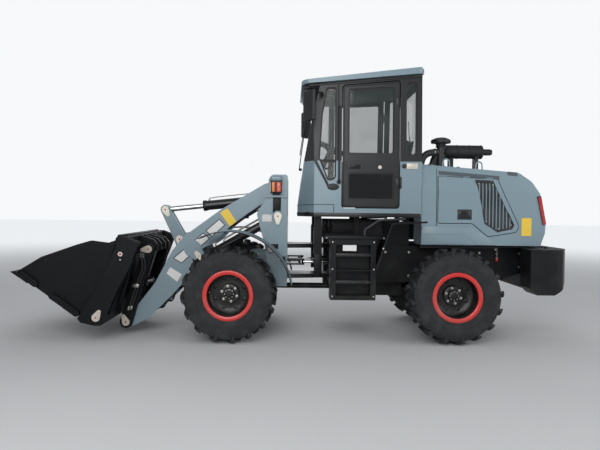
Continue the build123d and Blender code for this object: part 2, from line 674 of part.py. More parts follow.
def transmission():
    """Gearbox under the cab, hung between the frame's side plates, with its output to the pivot."""
    x0, x1 = GEARBOX_X
    w = FRAME_HALF_W - PLATE_T
    body = block(x0, x1, -170, 170, TYRE_R - 90, 760)
    body += block(x0 + 90, x1 - 90, -w, w, 700, 760)
    end = PIVOT_X - SHAFT_BALL_R - 6
    body += bar((x1 - 5, 0, TYRE_R), (end, 0, TYRE_R), SHAFT_R)
    body += bar((end - 5, 0, TYRE_R), (PIVOT_X, 0, TYRE_R), SHAFT_BALL_R - 8)
    return body + Pos(PIVOT_X, 0, TYRE_R) * Sphere(SHAFT_BALL_R)


def counterweight():
    """Cast weight behind the rear wheels, with a lid strip and a towing clevis."""
    body = plan([
        (-820, -880, 20), (-1180, -880, 130), (-REAR_OVERHANG, -640, 90), (-REAR_OVERHANG, 640, 90),
        (-1180, 880, 130), (-820, 880, 20), (-820, 575, 20), (FRAME_REAR_X, 545), (FRAME_REAR_X, -545),
        (-820, -575, 20),
    ], 555, 1058)
    tail = -REAR_OVERHANG - 10
    under = side([(-1086, 550), (-1086, 552), (tail, 676), (tail, 540)], -900, 900)
    toe = side([(-810, 545), (-810, 640), (-900, 555), (-900, 545)], -900, 900)
    slot = block(tail, -REAR_OVERHANG + 110, -60, 60, 760, 860)
    body += block(-1150, FRAME_REAR_X, -420, 420, 1050, DECK_Z)
    hitch_hole = upright(-REAR_OVERHANG + 55, 0, TOW_PIN_R, 700, 1070)
    return body - under - toe - slot - hitch_hole


def hood_profile(d):
    """Side outline of the hood shrunk by a wall d."""
    return [
        (HOOD_FRONT_X - d, HOOD_BASE_Z), (HOOD_FRONT_X - d, 2010 - d), (-785, 1925 - d, 120),
        (-935 + d, 1820 - d, 120), (-1029 + d, 1676, 80), (-1098 + d, 1364, 80),
        (-1090 + d, 1230, 60), (-1040 + d, HOOD_BASE_Z),
    ]


def hood_section(d):
    """Front outline of the hood shrunk by a wall d."""
    w, top = HOOD_HALF_W - d, 2030 - d
    return [
        (-w, HOOD_BASE_Z - 5), (w, HOOD_BASE_Z - 5), (w, 1700), (w - 45, top, 90),
        (-w + 45, top, 90), (-w, 1700),
    ]


def hood_solid(d):
    """Hood shape shrunk by a wall d."""
    return side(hood_profile(d), -HOOD_HALF_W, HOOD_HALF_W) & front(hood_section(d), -1200, 400)


# Side outlines of an engine cover and of the grille in it, and the grille of the rear end
COVER = [
    (150, 1330, 20), (150, 1880, 20), (-545, 1850, 30), (-605, 1700, 30), (-795, 1310, 30),
    (-760, 1235, 30), (-430, 1180, 60), (-250, 1330, 60),
]
GRILLE = [
    (-290, 1820, 20), (-490, 1810, 20), (-725, 1330, 20), (-700, 1285, 20), (-540, 1250, 20),
    (-400, 1340, 20),
]
REAR_GRILLE_HALF_W = 400
REAR_GRILLE_Z = (1240, 1640)


def hood():
    """Hood shell without the rear shell and the side covers."""
    shell = hood_solid(0) - hood_solid(HOOD_WALL)
    shell -= block(HOOD_FRONT_X - HOOD_WALL - 5, HOOD_FRONT_X + 5, -200, 200, HOOD_BASE_Z - 10, 1500)
    cut = side(COVER, HOOD_HALF_W - 120, HOOD_HALF_W + 20)
    shell = shell - cut - cut.mirror(Plane.XZ)
    low, high = REAR_GRILLE_Z
    w = REAR_GRILLE_HALF_W
    shell -= block(-1200, -1010, -w, w, low, high)
    count = int((high - low) / SLAT_STEP)
    for i in range(1, count):
        z = low + (high - low) * i / count
        lean = max(-1029 - (1676 - z) * 0.22, -1090)
        shell += block(lean + 6, lean + 24, -w - 6, w + 6, z - SLAT_T, z)
    return shell


def covers():
    """The two engine covers, cut from the hood's own skin with a gap all round, with slats."""
    shell = hood_solid(0) - hood_solid(HOOD_WALL)
    face = offset(side_face(COVER), amount=-COVER_GAP)
    plane = Plane((0, HOOD_HALF_W + 20, 0), x_dir=(1, 0, 0), z_dir=(0, -1, 0))
    cut = extrude(plane * face, amount=140)
    opening = side(GRILLE, HOOD_HALF_W - 120, HOOD_HALF_W + 20)
    left = (shell & cut) - opening
    wider = extrude(plane * offset(side_face(GRILLE), amount=COVER_GAP), amount=140)
    skin = (hood_solid(3) - hood_solid(HOOD_WALL - 2)) & wider
    x0, x1 = GRILLE[2][0], GRILLE[0][0]
    count = int((x1 - x0) / SLAT_STEP)
    for i in range(1, count):
        x = x0 + (x1 - x0) * i / count
        left += skin & block(x - SLAT_T / 2, x + SLAT_T / 2, 0, 900, 1200, 1900)
    return left, left.mirror(Plane.XZ)


# Cab

def cab_profile(d):
    """Side outline of the cab shrunk by a wall d."""
    points = [
        (CAB_REAR_X, CAB_FLOOR_Z), (CAB_FRONT_X, CAB_FLOOR_Z), (CAB_FRONT_X, 1525),
        (CAB_FRONT_X - 60, 2000), (CAB_FRONT_X - 115, 2300), (CAB_FRONT_X - 170, 2610),
        (CAB_FRONT_X - 240, CAB_TOP_FRONT_Z), (CAB_REAR_X, CAB_TOP_REAR_Z),
    ]
    face = side_face(points)
    return offset(face, amount=-d, kind=Kind.INTERSECTION) if d else face


def cab_section(d):
    """Front outline of the cab shrunk by a wall d."""
    w, top = CAB_HALF_W, CAB_TOP_REAR_Z + 60
    face = side_face([
        (-w, CAB_FLOOR_Z), (w, CAB_FLOOR_Z), (w, CAB_BELT_Z), (CAB_TOP_HALF_W, top),
        (-CAB_TOP_HALF_W, top), (-w, CAB_BELT_Z),
    ])
    return offset(face, amount=-d, kind=Kind.INTERSECTION) if d else face


def cab_plan(d):
    """Plan outline of the cab with its cut front corners, shrunk by a wall d."""
    w = CAB_HALF_W
    face = side_face([
        (CAB_REAR_X, -w), (CAB_FRONT_X - CAB_CUT_X, -w), (CAB_FRONT_X, -w + CAB_CUT_Y),
        (CAB_FRONT_X, w - CAB_CUT_Y), (CAB_FRONT_X - CAB_CUT_X, w), (CAB_REAR_X, w),
    ])
    return offset(face, amount=-d, kind=Kind.INTERSECTION) if d else face


def cab_solid(d):
    """Cab shape shrunk by a wall d on every side."""
    w = CAB_HALF_W
    beside = Plane((0, w, 0), x_dir=(1, 0, 0), z_dir=(0, -1, 0))
    behind = Plane((CAB_REAR_X - 45, 0, 0), x_dir=(0, 1, 0), z_dir=(1, 0, 0))
    from_side = extrude(beside * cab_profile(d), amount=2 * w)
    from_front = extrude(behind * cab_section(d), amount=1500)
    from_top = Pos(0, 0, CAB_FLOOR_Z) * extrude(cab_plan(d), amount=1700)
    return from_side & from_front & from_top


DOOR = [
    (DOOR_REAR_X, DOOR_SILL_Z, 40), (DOOR_FRONT_X, DOOR_SILL_Z, 40), (DOOR_FRONT_X, 2895, 40),
    (DOOR_REAR_X, 2960, 40),
]
# Window outlines of one side: (x, z, corner radius)
DOOR_WINDOWS = [
    [(660, 2110, 35), (1185, 2110, 35), (1185, 2850, 35), (660, 2880, 35)],
    [(660, 1590, 35), (1185, 1590, 35), (1185, 1900, 35), (660, 1900, 35)],
]
QUARTER_WINDOW = [(400, 2080, 50), (535, 2080, 50), (535, 2930, 50), (400, 2945, 50)]
FRONT_WINDOW = [
    (1320, 1830, 50), (1410, 1790, 40), (1520, 2060, 40), (1490, 2560, 60), (1440, 2860, 30),
    (1320, 2870, 30),
]


def side_cut(outline, inset=0):
    """Prism through one side wall of the cab from a window or door outline."""
    face = side_face(outline)
    if inset:
        face = offset(face, amount=-inset, kind=Kind.INTERSECTION)
    plane = Plane((0, CAB_HALF_W + 40, 0), x_dir=(1, 0, 0), z_dir=(0, -1, 0))
    return extrude(plane * face, amount=170)


def windscreen_cut():
    """Prism through the front wall for the windscreen."""
    outline = [(-430, 2050, 60), (430, 2050, 60), (400, 2850, 60), (-400, 2850, 60)]
    return front(outline, CAB_FRONT_X - 330, CAB_FRONT_X + 40)


def rear_window_cut():
    """Prism through the rear wall for the rear window."""
    outline = [(-470, 2130, 60), (470, 2130, 60), (440, 2900, 60), (-440, 2900, 60)]
    return front(outline, CAB_REAR_X - 20, CAB_REAR_X + 80)


def cab_walls():
    """Hollow cab without doors and windows, floor included."""
    shell = cab_solid(0) - cab_solid(CAB_WALL)
    for outline in (DOOR, QUARTER_WINDOW, FRONT_WINDOW):
        cut = side_cut(outline)
        shell = shell - cut - cut.mirror(Plane.XZ)
    return shell - windscreen_cut() - rear_window_cut()


def cab_glass():
    """Fixed panes in the middle of the walls."""
    layer = cab_solid(18) - cab_solid(24)
    panes = []
    for outline in (QUARTER_WINDOW, FRONT_WINDOW):
        pane = layer & side_cut(outline)
        panes += [*pane.solids(), *pane.mirror(Plane.XZ).solids()]
    panes += (layer & windscreen_cut()).solids()
    panes += (layer & rear_window_cut()).solids()
    return Compound(children=panes)


def door():
    """Left door and its panes, cut from the cab's own wall."""
    wall = cab_solid(0) - cab_solid(CAB_WALL)
    leaf = wall & side_cut(DOOR, DOOR_GAP)
    layer = cab_solid(18) - cab_solid(24)
    panes = []
    for outline in DOOR_WINDOWS:
        leaf -= side_cut(outline)
        panes += (layer & side_cut(outline)).solids()
    handle = block(DOOR_FRONT_X - 150, DOOR_FRONT_X - 40, CAB_HALF_W, CAB_HALF_W + 18, 1975, 2005)
    return leaf + handle, Compound(children=panes)


def cab_roof():
    """Roof cap that leans forward and overhangs the windscreen."""
    slope = (CAB_TOP_REAR_Z - CAB_TOP_FRONT_Z) / (CAB_FRONT_X - 240 - CAB_REAR_X)
    x0, x1 = CAB_REAR_X - 20, 1722
    z0 = CAB_TOP_REAR_Z + slope * 20
    z1 = CAB_TOP_REAR_Z - slope * (x1 - CAB_REAR_X)
    w = CAB_TOP_HALF_W + 60
    cap = side([
        (x0, z0), (x1, z1), (x1, z1 + ROOF_T - 25, 25), (x0 + 40, z0 + ROOF_T, 25),
        (x0, z0 + ROOF_T - 30, 25),
    ], -w, w)
    return cap & plan([(x0, -w, 70), (x1, -w, 110), (x1, w, 110), (x0, w, 70)], 2700, 3300)


def seat():
    """Operator's seat on its pedestal."""
    x = 720
    floor = CAB_FLOOR_Z + CAB_WALL
    body = block(x - 190, x + 210, -180, 180, floor, floor + 260)
    return body + side([
        (x - 240, floor + 260), (x + 260, floor + 260), (x + 270, floor + 360, 40),
        (x - 130, floor + 350, 30), (x - 230, floor + 960, 40), (x - 330, floor + 950, 40),
    ], -250, 250)


def steering_column():
    """Console, column and steering wheel."""
    floor = CAB_FLOOR_Z + CAB_WALL
    x = 1500
    body = side([
        (x - 80, floor), (x + 90, floor), (x + 60, floor + 480, 30), (x - 60, floor + 520, 30),
    ], -110, 110)
    tip = (x - 170, 0, floor + 790)
    body += bar((x - 20, 0, floor + 470), tip, 28)
    lean = Vector(tip) - Vector(x - 20, 0, floor + 470)
    ring = Plane(tip, z_dir=lean) * Torus(190, 15)
    body += ring
    plane = Plane(tip, z_dir=lean)
    body += extrude(plane * Circle(45), amount=20, both=True)
    for turn in (0, 120, 240):
        body += plane * Rot(0, 0, turn) * Pos(95, 0, 0) * Box(190, 26, 12)
    return body


def mirrors():
    """Door mirrors on their brackets at the front pillars."""
    wall = CAB_TOP_HALF_W + 17.1
    out = wall + 158
    arm = block(1480, 1504, wall, out, 2762, 2786)
    arm += block(1480, 1650, out - 20, out, 2762, 2786)
    head = block(1600, 1664, out - 60, out + 120, 2450, 2800)
    return both(arm + head)


# Steps, tanks, rails and fenders

def side_boxes():
    """Step box on the left and tank on the right, with their top platforms."""
    x0, x1 = SIDE_BOX_X
    y0, y1 = SIDE_BOX_IN_Y, STEP_HALF_W
    top, low = SIDE_BOX_TOP_Z, 479
    body = block(x0, x1 - 180, y0, y1 - 10, 640, top) + block(x0, x1, y1 - 260, y1 - 10, low, top)
    steps = body + block(x0 - 114, x1 + 70, y0, y1, top, top + PLATFORM_T)
    tank = steps.mirror(Plane.XZ)
    for z0, z1 in ((low + 50, 800), (815, top - 60)):
        steps -= block(x0 + 60, x1 - 60, y1 - 150, y1 + 10, z0, z1)
    for z in (low + 180, 960):
        steps += block(x0 + 55, x1 - 55, y1 - 70, y1 - 20, z, z + 30)
    return Compound(children=[*steps.solids(), *tank.solids()])


def rear_fenders():
    """Black sheets ahead of the rear wheels."""
    y0, y1 = 560, 960
    guard = sheet([(345, 1340), (724, 1322), (880, 833)], 10, y0, y1)
    x0, top = SIDE_BOX_X[0], SIDE_BOX_TOP_Z
    guard -= block(x0 - 114, x0 + 20, 0, STEP_HALF_W, top, top + PLATFORM_T)
    guard -= block(x0, x0 + 118, 0, STEP_HALF_W, 400, top + PLATFORM_T)
    return both(guard)


def handrails():
    """Grab rails beside the steps."""
    y = STEP_HALF_W - 30
    foot = SIDE_BOX_TOP_Z + PLATFORM_T
    rail = FilletPolyline(
        (1010, y, foot), (1010, y, foot + 70), (850, y, foot + 179), (560, y, foot + 192),
        (560, CAB_HALF_W - 150, foot + 192), radius=45,
    )
    tube = sweep(Plane(rail @ 0, z_dir=rail % 0) * Circle(14), path=rail)
    return both(tube)


def mid_tank():
    """Hydraulic tank under the cab floor, and the two boxes that hang ahead of the steps."""
    w = FRAME_HALF_W - PLATE_T
    tank = block(480, 1000, -w, w, ENGINE_Z, CAB_FLOOR_Z - 55)
    x0 = SIDE_BOX_X[1] + 80
    box = block(x0, x0 + 95, 440, 560, 960, 1275)
    box += block(x0 + 10, x0 + 85, 450, 540, 1270, CAB_FLOOR_Z)
    return Compound(children=[*tank.solids(), *both(box).solids()])


def exhaust():
    """Muffler lying on the hood with its inlet and tail pipes."""
    z = MUFFLER_Z
    body = bar((-534, 0, z), (-68, 0, z), MUFFLER_R)
    body += bar((-640, 0, z), (-530, 0, z), 38)
    body += bar((-150, 0, 1990), (-150, 0, z), 36)
    return body + block(-480, -440, -60, 60, 1990, z)


def air_intake():
    """Mushroom pre-cleaner on its stem."""
    x = 40
    top = INTAKE_TOP_Z
    body = upright(x, 260, 45, 1995, top - 60)
    cap = [(0, top - 62), (115, top - 62), (115, top - 25), (60, top), (0, top)]
    head = revolve(Plane.XZ * make_face(Polyline(*cap, close=True)), Axis.Z)
    return body + Pos(x, 260, 0) * head


def tail_lamps():
    """Upright rear lamp strips in the hood's rear shell."""
    outline = [(-1000, 1640), (-1030, 1645), (-1092, 1340), (-1066, 1332)]
    return both(side(outline, HOOD_HALF_W, HOOD_HALF_W + 12))


# Write every piece

def main():
    os.makedirs("parts", exist_ok=True)
    place_wheels()
    write("front_axle", axle(FRONT_AXLE, -1, FRONT_AXLE - PIVOT_X - SHAFT_BALL_R - 6))
    write("rear_axle", axle(0, 1, GEARBOX_X[0] - FORK_GAP))
    write("front_frame", front_frame())
    write("front_fenders", front_fenders())
    write("front_lamps", front_lamps())
    write("lift_arm", lift_arm())
    write("rocker", rocker())
    write("tilt_link", tilt_link())
    reach = ROCKER_EAR_Y + PLATE_T + PIN_HEAD
    write("rocker_pin", across(ROCKER_PIVOT, ROCKER_PIN_R, -reach, reach))
    reach = ROCKER_Y + ROCKER_T + PIN_HEAD
    write("link_pin", across(ROCKER_FOOT, LINK_PIN_R, -reach, reach))
    reach = HITCH_GAP + PLATE_T + PIN_HEAD
    y0, y1 = ARM_IN_Y - reach, ARM_IN_Y + ARM_T + reach
    write("bucket_pins", both(across(BUCKET_PIVOT, BUCKET_PIN_R, y0, y1)))
    lane = ARM_IN_Y + ARM_T / 2
    barrel, rod = cylinder_parts(LIFT_BASE, LIFT_EYE, LIFT_CYLINDER, 48, LIFT_PIN_R, lane, 95, 20)
    write("lift_barrels", both(barrel))
    write("lift_rods", both(rod))
    barrel, rod = cylinder_parts(TILT_BASE, ROCKER_TOP, TILT_CYLINDER, 70, TILT_PIN_R, 0, 420, 240)
    write("tilt_barrel", barrel)
    write("tilt_rod", rod)
    write("hitch", hitch())
    write("bucket_back", bucket_back())
    write("clam", clam())
    lane = BUCKET_W / 2 - BUCKET_SIDE_T - POCKET_W / 2
    barrel, rod = cylinder_parts(CLAM_BASE, CLAM_CRANK, CLAM_CYLINDER, 28, CLAM_PIN_R - 4, lane, 160, 100)
    write("clam_barrels", both(barrel))
    write("clam_rods", both(rod))
    base, eye = (STEER_BASE_X, STEER_BASE_Y), (STEER_EYE_X, STEER_EYE_Y)
    barrel, rod = cylinder_parts(base, eye, STEER_CYLINDER, STEER_EYE_T, STEER_PIN_R, 0, 230, 185)
    flat = Plane((0, 0, STEER_Z), x_dir=(1, 0, 0), z_dir=(0, -1, 0))
    for name, shape in (("steer_barrel", barrel), ("steer_rod", rod)):
        laid = Pos(0, 0, STEER_Z) * (Rot(-90, 0, 0) * shape)
        write(name + "_left", laid)
        write(name + "_right", laid.mirror(Plane.XZ))
    write("rear_frame", rear_frame())
    write("engine_block", engine_block())
    write("transmission", transmission())
    write("counterweight", counterweight())
    shell = hood()
    write("hood", shell & block(HOOD_SPLIT_X, 500, -900, 900, 1000, 2200))
    write("hood_rear", shell & block(-1300, HOOD_SPLIT_X, -900, 900, 1000, 2200))
    left, right = covers()
    write("engine_cover_left", left)
    write("engine_cover_right", right)
    walls = cab_walls()
    write("cab_base", walls & block(0, 2200, -900, 900, 1300, CAB_BELT_Z))
    write("cab_frame", walls & block(0, 2200, -900, 900, CAB_BELT_Z, 3300))
    write("cab_glass", cab_glass())
    leaf, panes = door()
    write("door_left", leaf)
    write("door_glass_left", panes)
    write("door_right", leaf.mirror(Plane.XZ))
    write("door_glass_right", panes.mirror(Plane.XZ))
    write("cab_roof", cab_roof())
    write("seat", seat())
    write("steering_column", steering_column())
    write("mirrors", mirrors())
    write("side_boxes", side_boxes())
    write("rear_fenders", rear_fenders())
    write("handrails", handrails())
    write("hydraulic_tank", mid_tank())
    write("exhaust", exhaust())
    write("air_intake", air_intake())
    write("tail_lamps", tail_lamps())


main()
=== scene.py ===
"""Dresses a packed compact wheel loader with materials, fittings, floor, light and camera.

Metres, +X towards the bucket, +Y to the operator's left. Places are given in millimetres from
the rear axle through at(), the way the machine is drawn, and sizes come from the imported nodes
where a piece sits on one.
"""

from math import atan2, cos, pi, radians, sin, tau

import bmesh
import bpy
from bpy.props import FloatProperty, FloatVectorProperty, IntProperty, PointerProperty
from mathutils import Matrix, Vector


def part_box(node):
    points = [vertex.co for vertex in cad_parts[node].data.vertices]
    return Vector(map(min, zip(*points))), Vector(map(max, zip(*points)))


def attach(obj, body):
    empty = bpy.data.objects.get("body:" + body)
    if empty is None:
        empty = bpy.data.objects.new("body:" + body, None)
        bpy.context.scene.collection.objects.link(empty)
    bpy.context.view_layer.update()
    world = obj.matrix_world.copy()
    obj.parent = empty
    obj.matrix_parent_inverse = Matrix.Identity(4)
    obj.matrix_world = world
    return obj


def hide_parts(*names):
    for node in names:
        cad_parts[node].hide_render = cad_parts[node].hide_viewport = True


bl_info = {
    "name": "Compact wheel loader dressing",
    "version": (1, 0, 0),
    "blender": (4, 5, 0),
    "location": "View3D > Sidebar > Loader",
    "description": "Materials and fittings of an articulated wheel loader",
    "category": "Object",
}

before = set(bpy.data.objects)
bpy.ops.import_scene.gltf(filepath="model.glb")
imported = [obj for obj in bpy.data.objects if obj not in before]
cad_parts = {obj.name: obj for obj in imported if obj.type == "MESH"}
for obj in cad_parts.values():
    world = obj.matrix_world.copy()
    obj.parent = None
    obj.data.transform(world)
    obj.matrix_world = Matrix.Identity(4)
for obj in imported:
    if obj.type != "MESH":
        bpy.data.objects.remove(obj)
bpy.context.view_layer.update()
SIDES = (("left", 1), ("right", -1))
WHEELS = [(end, side, sign) for end in ("front", "rear") for side, sign in SIDES]


def middle(node):
    """Middle of a node's box."""
    low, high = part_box(node)
    return (low + high) / 2


REAR_X = middle("tyre_rear_left").x
AXLE_Z = middle("tyre_rear_left").z
TYRE_R = (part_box("tyre_rear_left")[1].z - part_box("tyre_rear_left")[0].z) / 2


def at(x, y, z):
    """Place in metres of a point given in millimetres from the rear axle and the ground."""
    return Vector((REAR_X + x / 1000, y / 1000, z / 1000))


def drawn(y, *spots):
    """Places of the (x, z) spots of a side drawing, at one distance from the middle."""
    return [at(x, y, z) for x, z in spots]


def spokes(count, start=0.0):
    """Directions spread evenly round the Y axis."""
    turns = (tau * i / count + start for i in range(count))
    return [Vector((cos(turn), 0, sin(turn))) for turn in turns]


def pairs(points):
    """Each point of a closed outline with the next."""
    return zip(points, points[1:] + points[:1])


# Materials


class Value:
    """A number socket that takes part in sums written as plain expressions."""

    def __init__(self, finish, socket):
        self.finish = finish
        self.socket = socket

    def _sum(self, operation, *terms):
        node = self.finish.node("ShaderNodeMath", {"operation": operation}, *terms)
        return Value(self.finish, node.outputs[0])

    def __add__(self, other):
        return self._sum("ADD", self, other)

    def __sub__(self, other):
        return self._sum("SUBTRACT", self, other)

    def __mul__(self, other):
        return self._sum("MULTIPLY", self, other)

    def __rsub__(self, other):
        return self._sum("SUBTRACT", other, self)

    __radd__ = __add__
    __rmul__ = __mul__

    def step(self, low, high):
        """0 below low, 1 above high and smooth between them."""
        node = self.finish.node(
            "ShaderNodeMapRange", {"interpolation_type": "SMOOTHSTEP"}, self, low, high, 0.0, 1.0
        )
        return Value(self.finish, node.outputs[0])


class Finish:
    """A material under construction, on the piece's own coordinates."""

    def __init__(self, name, **sockets):
        self.material = bpy.data.materials.new(name)
        self.material.use_nodes = True
        self.tree = self.material.node_tree
        self.shader = self.tree.nodes["Principled BSDF"]
        self.place = self.node("ShaderNodeTexCoord").outputs["Object"]
        self.set(**sockets)

    def link(self, value, socket):
        """Puts a number, colour or output into a socket."""
        value = getattr(value, "socket", value)
        if isinstance(value, bpy.types.NodeSocket):
            self.tree.links.new(value, socket)
        else:
            socket.default_value = value

    def node(self, kind, settings=None, *inputs, **named):
        """Adds a node: its settings first, then its sockets by place or by name."""
        node = self.tree.nodes.new(kind)
        for key, value in (settings or {}).items():
            setattr(node, key, value)
        for place, value in enumerate(inputs):
            self.link(value, node.inputs[place])
        for key, value in named.items():
            self.link(value, node.inputs[key.replace("_", " ")])
        return node

    def set(self, **sockets):
        """Sets sockets of the surface shader, such as Base_Color."""
        for key, value in sockets.items():
            self.link(value, self.shader.inputs[key.replace("_", " ")])

    def noise(self, scale, detail=4.0, roughness=0.5, place=None):
        """Cloudy pattern from 0 to 1."""
        node = self.node(
            "ShaderNodeTexNoise", {"noise_dimensions": "3D"}, Vector=place or self.place,
            Scale=scale, Detail=detail, Roughness=roughness,
        )
        return Value(self, node.outputs[0])

    def stretched(self, scale):
        """Coordinates scaled by an amount for each direction."""
        return self.node("ShaderNodeMapping", {}, Vector=self.place, Scale=scale).outputs[0]

    def part(self, letter):
        """One of the coordinates X, Y and Z."""
        node = self.node("ShaderNodeSeparateXYZ", {}, self.place)
        return Value(self, node.outputs[letter])

    def mix(self, factor, low, high):
        """Colour between two colours."""
        node = self.node("ShaderNodeMix", {"data_type": "RGBA"})
        self.link(factor, node.inputs[0])
        for socket, colour in ((node.inputs[6], low), (node.inputs[7], high)):
            self.link((*colour, 1) if isinstance(colour, tuple) and len(colour) == 3 else colour, socket)
        return node.outputs[2]

    def bump(self, height, strength, distance):
        """Feeds a height into the surface's normal."""
        node = self.node("ShaderNodeBump", {}, Height=height, Strength=strength, Distance=distance)
        self.set(Normal=node.outputs[0])


FINISHES = {}


def finish(name):
    """A material by name, made once."""
    if name not in FINISHES:
        FINISHES[name] = FINISH_MAKERS[name]()
    return FINISHES[name]


BLACK_PAINT = (0.0045, 0.005, 0.006)
DUST = (0.16, 0.155, 0.145)
BARE_STEEL = (0.085, 0.083, 0.080)
TONE_SPREAD = 0.06
TOWER_FOOT_X = REAR_X + 1.864


def sprayed(name, colour, rough, dust=0.35, coat=0.25, gloss=0.5):
    """Sprayed paint with faint orange peel, tone drift, and road dust low down."""
    made = Finish(name, IOR=1.5, Coat_Weight=coat, Coat_Roughness=0.12, Specular_IOR_Level=gloss)
    drift = made.noise(1.3, 3.0)
    fine = made.noise(60.0, 3.0)
    dark = tuple(c * (1 - TONE_SPREAD) for c in colour)
    light = tuple(min(1.0, c * (1 + TONE_SPREAD) + 0.004) for c in colour)
    base = made.mix(drift, dark, light)
    low = 1 - made.part("Z").step(0.25, 1.25)
    film = low * made.noise(4.5, 6.0, 0.65).step(0.4, 0.72) * dust
    base = made.mix(film, base, DUST)
    made.set(Base_Color=base, Roughness=(film * 0.35 + rough) + fine * 0.05)
    made.bump(made.noise(320.0, 2.0), 0.05, 0.0006)
    return made


def paint(name, *finish_values, **named_values):
    """Material of a sprayed paint."""
    return sprayed(name, *finish_values, **named_values).material


def body_paint():
    return paint("body_paint", tuple(look().body_colour), 0.34)


def frame_black():
    return paint("frame_black", BLACK_PAINT, 0.38, dust=0.13, coat=0.0, gloss=0.2)


def cab_black():
    return paint("cab_black", (0.0075, 0.0085, 0.010), 0.34, dust=0.06, coat=0.1, gloss=0.4)


def bucket_paint():
    """Black paint of the bucket, rubbed and scratched to dull steel at its edge and floor."""
    made = Finish("bucket_paint", IOR=1.5, Specular_IOR_Level=0.15)
    drift = made.noise(2.0, 5.0, 0.6)
    scratch = made.noise(9.0, 7.0, 0.7, made.stretched((1.0, 6.0, 1.6))).step(0.62, 0.70)
    front = made.part("X").step(REAR_X + 4.30, REAR_X + 4.80)
    worn = scratch * (front * 0.75 + 0.12)
    base = made.mix(drift, (0.003, 0.0035, 0.0045), (0.009, 0.0095, 0.011))
    base = made.mix(worn, base, BARE_STEEL)
    made.set(Base_Color=base, Roughness=drift * 0.2 + 0.36, Metallic=worn * 0.6)
    made.bump(made.noise(140.0, 3.0), 0.08, 0.001)
    return made.material


def tyre_rubber():
    """Rubber with a patchy dusty film."""
    made = Finish("tyre_rubber", IOR=1.5, Specular_IOR_Level=0.3)
    grain = made.noise(45.0, 4.0, 0.6)
    dust = made.noise(7.0, 6.0, 0.65).step(0.40, 0.72)
    base = made.mix(grain, (0.013, 0.0135, 0.0145), (0.025, 0.0255, 0.027))
    base = made.mix(dust * 0.35, base, (0.082, 0.086, 0.088))
    made.set(Base_Color=base, Roughness=dust * 0.15 + 0.70)
    made.bump(grain + made.noise(260.0, 2.0) * 0.4, 0.25, 0.0012)
    return made.material


def plain(name, colour, rough, metallic=0.0, grain=80.0, depth=0.12, spread=0.12):
    """Moulded, cast or plated surface with fine grain."""
    made = Finish(name, IOR=1.5)
    cloud = made.noise(5.0, 5.0)
    dark = tuple(c * (1 - spread) for c in colour)
    light = tuple(min(1.0, c * (1 + spread)) for c in colour)
    made.set(Base_Color=made.mix(cloud, dark, light), Metallic=metallic)
    made.set(Roughness=cloud * 0.12 + (rough - 0.06))
    made.bump(made.noise(grain, 3.0), depth, 0.0008)
    return made.material


def pane(name, shade_below):
    """Lightly tinted pane with a trace of dust, painted near black and nearly opaque below a height as
    painted shade of the dark inside behind it.
    """
    made = Finish(name, Roughness=0.03, IOR=1.5)
    haze = made.noise(3.0, 5.0, 0.6).step(0.45, 0.8)
    # Painted shade: below the height the pane is made near black and nearly opaque, standing in for the
    # shaded inside behind it.
    painted_inside_shade = 1 - made.part("Z").step(shade_below, shade_below + 0.02)
    tint = made.mix(haze, (0.07, 0.088, 0.085), (0.16, 0.18, 0.17))
    made.set(Base_Color=made.mix(painted_inside_shade, tint, (0.008, 0.009, 0.010)))
    made.set(Alpha=haze * 0.06 + 0.24 + painted_inside_shade * 0.60)
    return made.material


def frame_black_behind_towers():
    """Body paint on the towers, and black on everything behind the foot of the towers."""
    made = sprayed("frame_black_behind_towers", tuple(look().body_colour), 0.34, dust=0.2)
    # A plain step along X: black behind the foot of the towers.
    rear = 1 - made.part("X").step(TOWER_FOOT_X, TOWER_FOOT_X + 0.001)
    colour = made.shader.inputs["Base Color"].links[0].from_socket
    made.set(Base_Color=made.mix(rear, colour, BLACK_PAINT))
    return made.material


def lens(name, colour):
    """Moulded lamp lens with fine ribs."""
    made = Finish(name, Roughness=0.12, IOR=1.49, Coat_Weight=0.6)
    ribs = made.node("ShaderNodeTexWave", {"bands_direction": "Z"}, Vector=made.place, Scale=70.0)
    deep = tuple(c * 0.55 for c in colour)
    made.set(Base_Color=made.mix(Value(made, ribs.outputs[1]), deep, colour))
    made.bump(Value(made, ribs.outputs[1]), 0.4, 0.002)
    return made.material


def seat_cloth():
    """Black vinyl with leather grain."""
    made = Finish("seat_cloth", Roughness=0.55, IOR=1.5)
    grain = made.node(
        "ShaderNodeTexVoronoi", {"feature": "DISTANCE_TO_EDGE"}, Vector=made.place, Scale=330.0
    )
    made.set(Base_Color=made.mix(made.noise(6.0), (0.016, 0.016, 0.018), (0.034, 0.034, 0.036)))
    made.bump(Value(made, grain.outputs[0]), 0.35, 0.001)
    return made.material


def worn_black():
    """Black paint worn to steel on the treads."""
    made = Finish("worn_black", IOR=1.5)
    worn = made.noise(38.0, 5.0, 0.7).step(0.52, 0.66)
    made.set(Base_Color=made.mix(worn, (0.006, 0.0065, 0.007), BARE_STEEL))
    made.set(Metallic=worn * 0.7, Roughness=worn * 0.1 + 0.38)
    made.bump(worn, 0.2, 0.0008)
    return made.material


def grille_mesh():
    """Punched sheet behind the grilles, its rows of holes dark."""
    made = Finish("grille_mesh", IOR=1.5, Roughness=0.5)
    spot = made.node(
        "ShaderNodeTexVoronoi", {"feature": "F1"}, Vector=made.place, Scale=95.0, Randomness=0.0
    )
    hole = Value(made, spot.outputs[0]).step(0.30, 0.42)
    made.set(Base_Color=made.mix(hole, (0.004, 0.004, 0.004), (0.050, 0.050, 0.052)))
    made.bump(hole, 0.5, 0.002)
    return made.material


